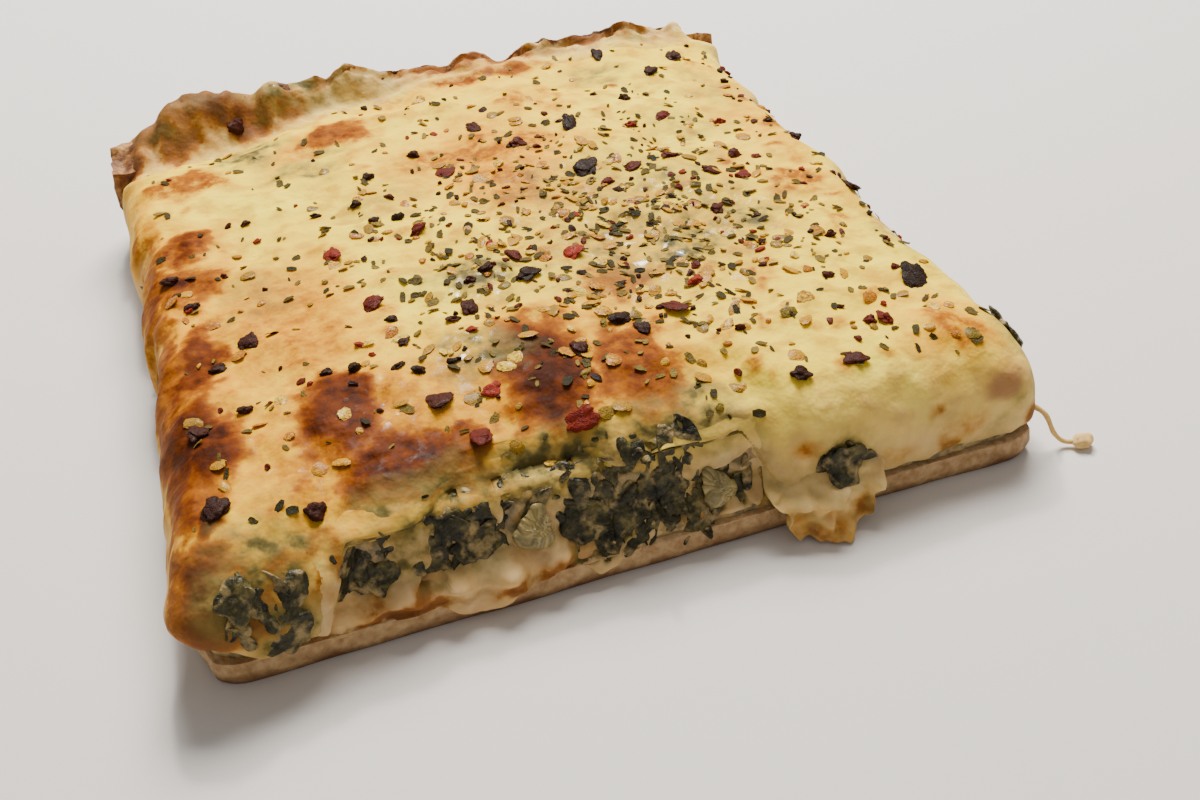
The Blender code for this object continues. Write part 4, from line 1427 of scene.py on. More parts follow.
@dataclass
class CheeseThread:
    """The thread of cheese and its blob that trail from the front right corner."""

    route: tuple = ((60.5, -60.5, 8.0), (61.5, -61.5, 7.5), (64.6, -64.6, 6.2), (66.2, -66, 2.6),
                    (67.8, -66.8, 1), (70, -67.8, 1.1), (71.0, -68.2, 1.1))
    radius: float = 0.42 * MM
    steps: int = 8
    blob_place: tuple = (70.4, -68, 1.2)
    blob_shape: tuple = (3.4, 2.6, 2.1)

    def build(self, material: bpy.types.Material) -> bpy.types.Object:
        """Models and dresses the thread with its blob.

        Args:
            material: Its finish.

        Returns:
            The finished piece.
        """
        line = spline([Vector(point) * MM for point in self.route], self.steps)
        select_only(None)
        bpy.ops.mesh.primitive_circle_add(vertices=10, radius=self.radius, fill_type="NGON")
        piece = new_piece("cheese_thread")
        with editing():
            for _ in line[1:]:
                bpy.ops.mesh.extrude_region_move(TRANSFORM_OT_translate={"value": (0, 0, MM)})
        places = coordinates(piece)
        rings = np.rint(places[:, 2] / MM).astype(int)
        for index, (x, y, _) in enumerate(places.copy()):
            ring = min(int(rings[index]), len(line) - 1)
            ahead = line[min(ring + 1, len(line) - 1)] - line[max(ring - 1, 0)]
            side = ahead.cross(Vector((0, 0, 1))).normalized()
            lift = side.cross(ahead).normalized()
            thick = 1 + 0.35 * waves(line[ring].x, line[ring].y, line[ring].z, 1.5 * MM, 2.0)
            places[index] = line[ring] + (side * x + lift * y) * thick
        set_coordinates(piece, places)
        bpy.ops.mesh.primitive_ico_sphere_add(subdivisions=4, radius=0.5 * MM, location=(0, 0, 0))
        blob = new_piece("blob")
        spots = coordinates(blob) * np.array(self.blob_shape)
        spots += spots * 0.35 * relief(spots, 1.1 * MM, 3.0)[:, None]
        set_coordinates(blob, spots + np.array(self.blob_place) * MM)
        select_only(blob)
        piece.select_set(True)
        bpy.context.view_layer.objects.active = piece
        bpy.ops.object.join()
        # side=1 paints the shaded colour over the whole thread and blob.
        return finish_cheese(piece, material, "cheese", toast=0.05, golden=0.2, thin=0.1, wet=0.6, side=1)


@dataclass
class PizzaCrust:
    """The dough floor and the baked rim, in one piece."""

    form: CutForm = FORM
    columns: int = 230
    rows: int = 84
    ring_count: int = 14
    bulge: float = 0.3 * MM

    def build(self, material: bpy.types.Material) -> bpy.types.Object:
        """Models, paints and dresses the crust.

        Args:
            material: Its finish.

        Returns:
            The finished piece.
        """

        def ring(number: int, u: float, v: float) -> Vector:
            """A point of the crust's side, below a point of its border.

            Args:
                number: The ring's number, from 1.
                u, v: The border's point in the unit square.

            Returns:
                The point, in metres.
            """
            share = 1 - number / self.ring_count
            out = self.bulge * (math.sin(math.pi * min(share * 1.1, 1)) - (1 - share) ** 4)
            return self.form.crust_ring(share, out)(u, v)

        piece, square, _ = ringed_sheet("pizza_crust", self.columns, self.rows, self.ring_count,
                                        self.form.crust_place, ring)
        places = coordinates(piece)
        rim = smooth_all((square[:, 1] + 0.6) / 0.08)
        above = np.clip(places[:, 2] / (1.2 * MM), 0, 1)
        lift = 0.16 * MM * relief(places, 1.6 * MM, 2.1) + 0.12 * MM * relief(places, 0.8 * MM, 6.1)
        lift += rim * (0.8 * MM * relief(places, 3.4 * MM, 5.5) + 0.35 * MM * relief(places, 1.7 * MM, 9.1))
        set_coordinates(piece, places + normals(piece) * (lift * above)[:, None])
        paint(piece, "rim", rim)
        face_outwards(piece)
        return finish_piece(piece, material, "crust", "crust")


@dataclass
class CreamyFilling:
    """The slab of filling between crust and cheese, lumpy where the cuts show it."""

    form: CutForm = FORM
    columns: int = 300
    rows: int = 60
    ring_count: int = 26
    chamfer: float = 1.2 * MM

    def build(self, material: bpy.types.Material) -> bpy.types.Object:
        """Models, paints and dresses the filling.

        Args:
            material: Its finish.

        Returns:
            The finished piece.
        """
        bottom = self.form.crust + self.form.gap

        def ring(number: int, u: float, v: float) -> Vector:
            """A point of the filling's cut face, below a point of its border.

            Args:
                number: The ring's number, from 1.
                u, v: The border's point in the unit square.

            Returns:
                The point, in metres.
            """
            share = number / self.ring_count
            height = mix(self.form.filling_top, bottom, share)
            chamfer = self.chamfer * max(0.08 - share, 0) / 0.08
            return self.form.filling_ring(height, 0.15 * MM, chamfer)(u, v)

        piece, square, rings = ringed_sheet("creamy_filling", self.columns, self.rows, self.ring_count,
                                            self.form.filling_ring(self.form.filling_top, 0, self.chamfer), ring)
        places = coordinates(piece)
        x, _, z = places.T
        side = (rings > 0).astype(float)
        front = side * smooth_all((-0.9 - square[:, 1]) / 0.08)
        ragged = wander(places, 4 * MM, (1.1, 8.2))
        sauce = plateau_all(x / MM + 3 * ragged[:, 0], -47, -9, 5) * plateau_all(z / MM + ragged[:, 1], 0, 7.5, 2.5)
        lift = side * (0.5 * MM * relief(places, 3.4 * MM, 5.5) + 0.3 * MM * relief(places, 1.6 * MM, 9.1))
        lift += side * 1.0 * MM * np.clip((7.5 * MM - z) / (3 * MM), 0, 1)
        lift += front * 1.3 * MM * np.clip((z - 8 * MM) / (5 * MM), 0, 1)
        set_coordinates(piece, places + normals(piece) * lift[:, None])
        paint(piece, "leafy", np.clip(0.9 - sauce, 0, 1))
        paint(piece, "toast", front * SAUCE_TOAST.strength(x, z, ragged))
        face_outwards(piece)
        return finish_piece(piece, material, "filling", "filling")


def refined_copy(node: str, name: str, levels: int) -> bpy.types.Object:
    """A smooth, finer copy of a CAD node's mesh.

    Args:
        node: The CAD node to follow.
        name: The new piece's name.
        levels: Subdivision levels.

    Returns:
        The piece, in the node's place.
    """
    select_only(None)
    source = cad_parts[node]
    piece = bpy.data.objects.new(name, source.data.copy())
    bpy.context.scene.collection.objects.link(piece)
    select_only(piece)
    with editing():
        bpy.ops.mesh.remove_doubles(threshold=0.02 * MM)
        bpy.ops.mesh.normals_make_consistent(inside=False)
    apply_modifier(piece, "SUBSURF", levels=levels, render_levels=levels)
    return piece


@dataclass
class SpinachLeaves:
    """The spinach leaves on the cuts, each a crumpled sheet in its CAD leaf's place."""

    levels: int = 2
    fold: float = 0.45 * MM
    sink: float = 0.7 * MM

    def build(self, material: bpy.types.Material) -> list[bpy.types.Object]:
        """Models and dresses every leaf.

        Args:
            material: Its finish.

        Returns:
            The finished pieces.
        """
        made = []
        for node in sorted(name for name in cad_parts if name.startswith("spinach_leaf")):
            piece = refined_copy(node, node.replace("spinach_leaf", "crumpled_leaf"), self.levels)
            places = coordinates(piece)
            middle = places.mean(axis=0)
            spread = 1 + 0.38 * relief((places - middle) + middle * 3, 2.3 * MM, 5.5)
            push = self.fold * relief(places, 1.7 * MM, 3.1) + 0.5 * self.fold * relief(places, 0.9 * MM, 7.1)
            places = middle + (places - middle) * spread[:, None] + normals(piece) * push[:, None]
            into = np.array((-np.sign(middle[0]) * (abs(middle[0]) > 60 * MM), float(middle[1] < -60 * MM), -0.2))
            set_coordinates(piece, places + into * self.sink)
            made.append(finish_piece(piece, material, "spinach", node, smooth_angle=75))
        return made


@dataclass
class ArtichokeWedges:
    """The artichoke wedges on the cuts, with fibres along their scales."""

    levels: int = 2

    def build(self, material: bpy.types.Material) -> list[bpy.types.Object]:
        """Models and dresses every wedge.

        Args:
            material: Its finish.

        Returns:
            The finished pieces.
        """
        made = []
        for node in sorted(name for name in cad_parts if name.startswith("artichoke_wedge")):
            piece = refined_copy(node, node.replace("artichoke_wedge", "artichoke_heart"), self.levels)
            places = coordinates(piece)
            middle = places.mean(axis=0)
            away = places - middle
            angle = np.arctan2(away[:, 2], away[:, 0] + away[:, 1])
            strand = 0.5 + 0.5 * np.sin(angle * 11 + 4 * relief(places, 2 * MM, 1.2))
            paint(piece, "strand", strand)
            push = 0.12 * MM * (strand - 0.5) + 0.25 * MM * relief(places, 1.5 * MM, 2.2)
            set_coordinates(piece, places + normals(piece) * push[:, None])
            made.append(finish_piece(piece, material, "artichoke", node, smooth_angle=75))
        return made


def joint_tree(pieces: Iterable[bpy.types.Object]) -> BVHTree:
    """Search tree of several pieces' faces together.

    Args:
        pieces: The pieces to cast rays onto.

    Returns:
        The tree.
    """
    points, faces = [], []
    for piece in pieces:
        start = len(points)
        points += [tuple(place) for place in coordinates(piece)]
        faces += [tuple(start + index for index in face.vertices) for face in piece.data.polygons
                  if len(face.vertices) < 5]
    return BVHTree.FromPolygons(points, faces)


def two_sheets(name: str, columns: int, rows: int, place: Callable[[float, float, bool], Vector],
               ) -> bpy.types.Object:
    """A grid and its extruded copy, each point placed by its share across and down.

    Args:
        name: The piece's name.
        columns: Cells across.
        rows: Cells down.
        place: Gives a point from its place across (-1 to 1), down (0 to 1) and whether it is outside.

    Returns:
        The closed piece.
    """
    select_only(None)
    bpy.ops.mesh.primitive_grid_add(x_subdivisions=columns, y_subdivisions=rows, size=2)
    piece = new_piece(name)
    with editing():
        bpy.ops.mesh.extrude_region_move(TRANSFORM_OT_translate={"value": (0, 0, 1)})
    places = coordinates(piece)
    for index, (a, v, level) in enumerate(places.copy()):
        places[index] = place(float(a), float(1 - v) / 2, bool(level > 0.5))
    set_coordinates(piece, places)
    face_outwards(piece)
    return piece


# Places on the front cut, across and up (mm), where the cream leaves the spinach bare
BARE_SPINACH = PatchMap((
    (-40, 12.2, 3.0, 3.4, 20, 1), (-26, 11.6, 4.4, 3.6, -20, 1), (-19, 12, 2.0, 3.2, -25, 1),
    (-15, 15.6, 3.6, 1.8, 15, 1), (-5, 12, 5.2, 6.2, 0, 1), (3, 9, 3.2, 4.2, 20, 1), (14.2, 7.6, 1.2, 1.8, 0, 1),
    (13.5, 10.8, 3.6, 0.9, 8, 1), (9.5, 7.8, 2.4, 2.2, 0, 1), (-30, 8.5, 3, 1.4, 30, 1), (-8, 6.4, 4, 2, 0, 1),
), edge=0.55, warp=1.7 * MM)
THIN_CREAM = PatchMap((
    (-33.5, 11.5, 2.4, 5, 0, 0.85), (-15, 10, 3.5, 4.5, 0, 0.6), (2, 13, 6, 3, 0, 0.8), (9, 10, 5, 3, 0, 0.5),
    (-46, 10, 2, 4, 0, 0.5), (-22, 16, 9, 1.8, 0, 0.7), (16, 8, 3, 3, 0, 0.4), (-8, 17, 9, 1.5, 0, 0.8),
), edge=0.8, warp=1.5 * MM)
SAUCE_TOAST = PatchMap((
    (-40, 6.5, 2.4, 1.6, 0, 0.4), (-33.5, 6.2, 2.2, 1.5, 40, 0.55), (-14, 4.6, 5, 1.2, 8, 0.6),
    (-21, 4.4, 3, 1.0, 0, 0.5), (-36, 4.6, 6, 1.0, 0, 0.7), (-10.5, 7.6, 1.8, 1.4, 0, 0.5), (-46, 13, 1.4, 2.2, 0, 0.5),
    (8, 5.4, 3, 1.0, 0, 0.35), (-43.5, 14.5, 1.2, 1.6, 0, 0.5),
), edge=0.8, warp=1.2 * MM)


@dataclass
class CreamVeil:
    """The cream on the front cut: thin between the spinach, thick where it runs over the crust."""

    form: CutForm = FORM
    left: float = -49.5 * MM
    right: float = 20.5 * MM
    top: float = 18.6 * MM
    columns: int = 216
    rows: int = 62
    thin_body: float = 0.45 * MM
    thick_body: float = 1.6 * MM
    sunk: float = 0.9 * MM
    passes: int = 9
    softness: float = 0.65
    edge_rows: int = 16
    edge_columns: int = 20

    def bottom(self, x: float) -> float:
        """The height of the cream's ragged lower edge.

        Args:
            x: Place across, in metres.

        Returns:
            The height, in metres.
        """
        edge = 3.9 * MM + 0.9 * MM * waves(x, 0, 0, 5 * MM, 3.4) + 0.3 * MM * waves(x, 0, 0, 2.6 * MM, 8.4)
        edge -= 2.4 * MM * plateau(x, -27 * MM, -22 * MM, 5 * MM)
        edge -= 1.8 * MM * plateau(x, -8.5 * MM, -6 * MM, 2 * MM)
        return max(mix(edge, 4.9 * MM, smooth((x + 3 * MM) / (6 * MM))), 0.6 * MM)

    def settled(self, tree: BVHTree) -> np.ndarray:
        """Where the veil's points lie before it has any body, row by row from the top.

        Args:
            tree: Search tree of what the cream lies on.

        Returns:
            The x, y and z of every point, with steps in the ground rounded off.
        """
        lying = np.zeros((self.rows + 1, self.columns + 1, 3))
        for row in range(self.rows + 1):
            for column in range(self.columns + 1):
                x = mix(self.left, self.right, column / self.columns)
                z = mix(self.top, self.bottom(x), row / self.rows)
                hit = tree.ray_cast(Vector((x, -self.form.half_d - 0.01, z + 1 * MM)), Vector((0, 1, -0.1)))[0]
                lying[row, column] = (x, hit.y if hit else -self.form.half_d + 3 * MM, z)
        soft = lying[:, :, 1].copy()
        for _ in range(self.passes):
            padded = np.pad(soft, 1, mode="edge")
            soft = (padded[:-2, 1:-1] + padded[2:, 1:-1] + 0.5 * padded[1:-1, :-2] + 0.5 * padded[1:-1, 2:]
                    + padded[1:-1, 1:-1]) / 4
        half = self.columns / 2
        from_sides = (half - np.abs(np.arange(self.columns + 1) - half)) / self.edge_columns
        inner = np.clip(np.minimum(np.arange(self.rows + 1)[:, None] / self.edge_rows, from_sides), 0, 1)
        soft = np.minimum(soft, lying[:, :, 1]) * self.softness + (1 - self.softness) * lying[:, :, 1]
        lying[:, :, 1] = lying[:, :, 1] * (1 - inner) + soft * inner
        lying += (1 - inner[:, :, None]) ** 2 * np.array((0, 0.35, -0.45)) * MM
        return lying

    def build(self, material: bpy.types.Material, tree: BVHTree) -> bpy.types.Object:
        """Models, paints and dresses the veil.

        Args:
            material: The cheese's finish.
            tree: Search tree of what the cream lies on.

        Returns:
            The piece.
        """
        lying = self.settled(tree)
        flat = lying.reshape(-1, 3)
        x, z = flat[:, 0], flat[:, 2]
        ragged = wander(flat, 3 * MM, (1.1, 8.2), 1.3 * MM, (4.2, 6.2))
        bare = BARE_SPINACH.strength(x, z, ragged)
        thick = plateau_all(x / MM + 3 * ragged[:, 0], -47, -12, 4) * np.clip((9.2 * MM - z) / (2.5 * MM), 0, 1)
        lumps = 1 + 1.5 * relief(flat, 4.2 * MM, 5.7) + 0.5 * relief(flat, 2.0 * MM, 2.7)
        body = (self.thin_body + (self.thick_body - self.thin_body) * thick) * np.clip(lumps, 0.3, 2.2)
        body = body * (1 - bare) - self.sunk * bare
        across = np.abs(2 * (x - self.left) / (self.right - self.left) - 1)
        rows = np.repeat(np.linspace(0, 1, self.rows + 1), self.columns + 1)
        border = np.clip((1 - across) / 0.2, 0, 1) * np.clip(rows / 0.36, 0, 1) ** 1.5
        body = body * border - 0.22 * MM * (1 - border) ** 4
        body = np.where(rows > 0.86, body * np.sqrt(np.clip((1 - rows) / 0.14, 0, 1)), body)

        def place(a: float, b: float, outer: bool) -> Vector:
            """A point of the veil: a across, b from its top to its lower edge.

            Args:
                a: Place across, -1 to 1.
                b: Place down, 0 to 1.
                outer: Whether it is on the outside.

            Returns:
                The point, in metres.
            """
            index = round(b * self.rows) * (self.columns + 1) + round((a + 1) / 2 * self.columns)
            y = flat[index, 1] - (body[index] if outer else -0.8 * MM - max(-body[index], 0))
            return Vector((flat[index, 0], y, flat[index, 2]))

        piece = two_sheets("cream_veil", self.columns, self.rows, place)
        places = coordinates(piece)
        column = np.rint((places[:, 0] - self.left) / (self.right - self.left) * self.columns).astype(int)
        lowest = np.array([self.bottom(value) for value in places[:, 0]])
        row = np.rint((self.top - places[:, 2]) / (self.top - lowest) * self.rows).astype(int)
        index = np.clip(row, 0, self.rows) * (self.columns + 1) + np.clip(column, 0, self.columns)
        x, z, ragged = x[index], z[index], ragged[index]
        cloudy = relief(places, 2.6 * MM, 6.1)
        thin = np.maximum(np.clip(2.2 * bare[index], 0, 0.95), THIN_CREAM.strength(x, z, ragged))
        thin = np.maximum(thin, 0.8 * green_halo(places))
        thin = np.clip(np.maximum(thin, 0.08 + 0.5 * cloudy) - 0.3 * thick[index], 0, 1)
        own = {"toast": SAUCE_TOAST.strength(x, z, ragged), "thin": thin, "wet": 0.8,
               "golden": np.clip(0.3 + 0.5 * relief(places, 5 * MM, 4.1), 0, 1)}
        marks = cheese_marks(places)[1]
        share = border[index]
        blended = {name: marks[name] * (1 - share) + values * share for name, values in own.items()}
        # side paints shade on the front cut, stronger lower down.
        return finish_cheese(piece, material, side=np.clip((19.5 * MM - places[:, 2]) / (6 * MM), 0, 1.2), **blended)


@dataclass
class CheeseOnRim:
    """Cheese that laps over the baked rim, from the grey-green part to the right end."""

    form: CutForm = FORM
    left: float = -61.5 * MM
    right: float = 61 * MM
    lap: float = 7.5 * MM

    def build(self, material: bpy.types.Material, tree: BVHTree) -> bpy.types.Object:
        """Models, paints and dresses the lapping cheese.

        Args:
            material: The cheese's finish.
            tree: Search tree of the cheese and the crust.

        Returns:
            The piece.
        """

        def ground(x: float, y: float) -> float:
            """The highest ground close to a place.

            Args:
                x, y: The place, in metres.

            Returns:
                The height there.
            """
            found = []
            for step in (-2.7, -1.8, -0.9, 0, 0.9, 1.8, 2.7):
                hit = tree.ray_cast(Vector((x, y + step * MM, OVERHEAD)), DOWN)[0]
                found.append(hit.z if hit else 0.0)
            return max(found[3], sum(sorted(found)[3:]) / 4)

        def place(a: float, b: float, outer: bool) -> Vector:
            """A point of the lap: a across, b from the back edge to the front.

            Args:
                a: Place across, -1 to 1.
                b: Place down, 0 to 1.
                outer: Whether it is on the outside.

            Returns:
                The point, in metres.
            """
            x = mix(self.left, self.right, (a + 1) / 2)
            ragged = 1.1 * MM * waves(x, 0, 0, 5 * MM, 1.9) + 0.6 * MM * waves(x, 0, 0, 2 * MM, 4.9)
            start = self.form.half_d - 0.9 * MM + 0.5 * ragged
            y = mix(start, self.form.rim_line(x) - self.lap + ragged, b)
            edge = min(smooth(b / 0.12), smooth((1 - b) / 0.5), smooth((1 - a) / 0.06), smooth((1 + a) / 0.05))
            tall = mix(1.1, 0.6, smooth((x + 30 * MM) / (25 * MM)))
            lump = tall * MM * (waves(x, y, 0, 4.5 * MM, 2.4) + 0.5 * waves(x, y, 0, 2 * MM, 6.4))
            z = ground(x, y) + mix(-1.1 * MM, 0.4 * MM + lump, edge)
            return Vector((x, y, z - (0 if outer else 1.0 * MM)))

        piece = two_sheets("cheese_on_rim", 230, 26, place)
        places = coordinates(piece)
        x, y, _ = places.T
        ragged, marks = cheese_marks(places)
        ahead = np.array([self.form.rim_line(value) for value in x]) - y
        share = 1 - np.clip((ahead + 1 * MM) / (6 * MM), 0, 1)
        speckle = 1 + 0.5 * relief(places, 2.5 * MM, 3.9)
        golden = np.clip(0.25 + 0.6 * relief(places, 6 * MM, 4.1), 0, 1)
        # side paints shade where the lap meets the rim's inner wall.
        return finish_cheese(
            piece, material, wet=0.3, side=0.9 * share,
            toast=marks["toast"] * (1 - share) + RIM_TOAST.strength(x, y, ragged) * share * speckle,
            golden=marks["golden"] * (1 - share) + golden * share,
            thin=np.maximum(marks["thin"] * (1 - share), RIM_GREEN.strength(x, y, ragged) * share))


# Strips of spinach in the cuts: side, from and to along it, from and to in height (mm), how many
SHRED_BEDS = (
    ("front", -43, -36, 8, 15, 10), ("front", -31, -20, 8, 16, 20), ("front", -19, -11, 9, 16, 6),
    ("front", -11, 8, 6, 19, 38), ("front", -8, 12, 4, 9, 14), ("front", 10, 17, 8, 13, 4),
    ("front", 26, 35, 7, 12, 7), ("front", -58, -48, 8, 17, 8), ("right", -37, -18, 6, 14, 14),
    ("right", 1, 32, 6, 14, 16), ("left", 8, 20, 6, 14, 7), ("left", -20, -8, 6, 14, 7),
)


@dataclass
class SpinachShreds:
    """Narrow strips of spinach pressed into the cuts, half sunk in the cream."""

    form: CutForm = FORM
    seed: int = 23
    thickness: float = 0.36 * MM

    def strip(self, tree: BVHTree, side: str, along: float, height: float, draw: random.Random,
              ) -> list[Vector] | None:
        """The points of one strip's sheet, 9 along by 4 across, or nothing off the cut.

        Args:
            tree: Search tree of what the strip lies on.
            side: The cut's side.
            along: Place along the cut, in metres.
            height: Height over the table, in metres.
            draw: Source of its size and turn.

        Returns:
            The sheet's points, row by row.
        """
        into = {"front": Vector((0, 1, -0.3)), "right": Vector((-1, 0, -0.3)), "left": Vector((1, 0, -0.3))}[side]
        edge = {"front": Vector((along, -self.form.half_d, height)),
                "right": Vector((self.form.half_w, along, height)),
                "left": Vector((-self.form.half_w, along, height))}[side]
        hit, normal = tree.ray_cast(edge - into * 0.02, into)[:2]
        if hit is None:
            return None
        up = (Vector((0, 0, 1)) - normal * normal.z).normalized()
        turn = Matrix.Rotation(draw.gauss(0, 0.55), 3, normal)
        long_way, cross_way = turn @ up, turn @ normal.cross(up)
        length, width = draw.uniform(4, 8.5) * MM, draw.uniform(1.6, 3.8) * MM
        seed = draw.uniform(0, 50)
        points = []
        for row in range(9):
            for column in range(4):
                u, v = row / 4 - 1, column / 1.5 - 1
                taper = max(1 - u ** 4, 0.25) * (1 + 0.7 * waves(u, v, 0, 0.5, seed))
                guess = hit + long_way * (u * length / 2) + cross_way * (v * width / 2 * taper)
                there = tree.ray_cast(guess + normal * 4 * MM, -normal)[0]
                there = there if there and (there - guess).length < 5 * MM else guess
                crease = 0.8 * waves(u, v, 0, 0.5, seed + 3) + 0.3 * math.cos(2.2 * v + seed)
                points.append(there + normal * (0.05 + crease) * MM)
        return points

    def build(self, material: bpy.types.Material, tree: BVHTree) -> bpy.types.Object:
        """Models and dresses all strips as one piece.

        Args:
            material: Its finish.
            tree: Search tree of what the strips lie on.

        Returns:
            The finished piece.
        """
        draw = random.Random(self.seed)
        points: list[Vector] = []
        faces = []
        for side, start, end, low, high, count in SHRED_BEDS:
            for _ in range(count):
                made = self.strip(tree, side, draw.uniform(start, end) * MM, draw.uniform(low, high) * MM, draw)
                if made is None:
                    continue
                base = len(points)
                points += made
                faces += [(base + row * 4 + column, base + row * 4 + column + 1,
                           base + (row + 1) * 4 + column + 1, base + (row + 1) * 4 + column)
                          for row in range(8) for column in range(3)]
        piece = mesh_piece("spinach_shreds", [tuple(point) for point in points], faces)
        apply_modifier(piece, "SOLIDIFY", thickness=self.thickness, offset=0)
        apply_modifier(piece, "SUBSURF", levels=1, render_levels=1)
        face_outwards(piece)
        return finish_piece(piece, material, "spinach")


class Outline(Enum):
    """The shapes of the small things on the cheese."""

    SHARD = "shard"
    CRUMB = "crumb"
    DISC = "disc"
    CURL = "curl"


# How strongly, at what size and with what seed each shape's template is made uneven
UNEVENNESS = {
    Outline.SHARD: ((0.75, 0.5, 3.7), (0.22, 0.22, 1.9)),
    Outline.CRUMB: ((0.8, 0.4, 2.7),),
    Outline.DISC: ((0.5, 0.5, 2.3),),
    Outline.CURL: (),
}


@dataclass
class Scatter:
    """Many small pieces of one kind, each with its own size and tint, in one mesh."""

    name: str
    outline: Outline
    finish: ToppingFinish
    seed: int
    spots: list[Spot]
    thickness: float = 0.07
    sunk: float = 0.22
    tilts: tuple[float, float] = (0.35, 0.3)

    def template(self, number: int) -> tuple[np.ndarray, list]:
        """One of the kind's basic shapes, 1 across: its points and faces.

        Args:
            number: Which of them, for the noise.

        Returns:
            The places of its points, and its faces.
        """
        select_only(None)
        if self.outline is Outline.CURL:
            bpy.ops.mesh.primitive_grid_add(x_subdivisions=4, y_subdivisions=2, size=1)
        elif self.outline is Outline.DISC:
            bpy.ops.mesh.primitive_uv_sphere_add(segments=9, ring_count=5, radius=0.5)
        else:
            levels = 4 if self.outline is Outline.SHARD else 2
            bpy.ops.mesh.primitive_ico_sphere_add(subdivisions=levels, radius=0.5)
        shape = new_piece("template")
        places = coordinates(shape)
        for share, size, seed in UNEVENNESS[self.outline]:
            places *= (1 + share * relief(places, size, seed * number))[:, None]
        if self.outline is Outline.CURL:
            places[:, 1] *= 1 - 1.3 * places[:, 0] ** 2 + 0.4 * relief(places, 0.3, number)
            places[:, 2] = 0.35 * places[:, 1] ** 2 + 0.12 * relief(places, 0.4, 5 + number)
            set_coordinates(shape, places)
            with editing():
                bpy.ops.mesh.extrude_region_move(TRANSFORM_OT_translate={"value": (0, 0, -self.thickness)})
            face_outwards(shape)
            places = coordinates(shape)
        faces = [tuple(face.vertices) for face in shape.data.polygons]
        bpy.data.objects.remove(shape)
        return places, faces

    def build(self, tree: BVHTree) -> bpy.types.Object:
        """Sets a copy of a basic shape on the cheese at each spot and dresses them.

        Args:
            tree: The cheese's search tree.

        Returns:
            The piece with all copies.
        """
        draw = random.Random(self.seed)
        shapes = [self.template(number) for number in range(1, 7)]
        points, faces, tints, count = [], [], [], 0
        for x, y, length, width, height, turn, tint in self.spots:
            hit, normal = tree.ray_cast(Vector((x * MM, y * MM, OVERHEAD)), DOWN)[:2]
            if hit is None:
                continue
            shape, shape_faces = shapes[draw.randrange(len(shapes))]
            lean = Vector((0, 0, 1)).rotation_difference(normal).to_matrix()
            spin = Matrix.Rotation(math.radians(turn), 3, "Z")
            tilt_x, tilt_y = (Matrix.Rotation(draw.uniform(-most, most), 3, axis)
                              for most, axis in zip(self.tilts, "XY"))
            turned = np.array(lean @ spin @ tilt_x @ tilt_y)
            sized = shape * np.array((length, width, height)) * MM
            middle = np.array(hit) + np.array(normal) * height * MM * self.sunk
            points.append(sized @ turned.T + middle)
            faces += [tuple(index + count for index in face) for face in shape_faces]
            tints.append(np.full(len(shape), tint))
            count += len(shape)
        piece = mesh_piece(self.name, np.vstack(points).tolist(), faces)
        paint(piece, "tint", np.concatenate(tints))
        LOG.info("%s: %d copies", self.name, len(points))
        return finish_piece(piece, self.finish.material(), "cheese", smooth_angle=50)


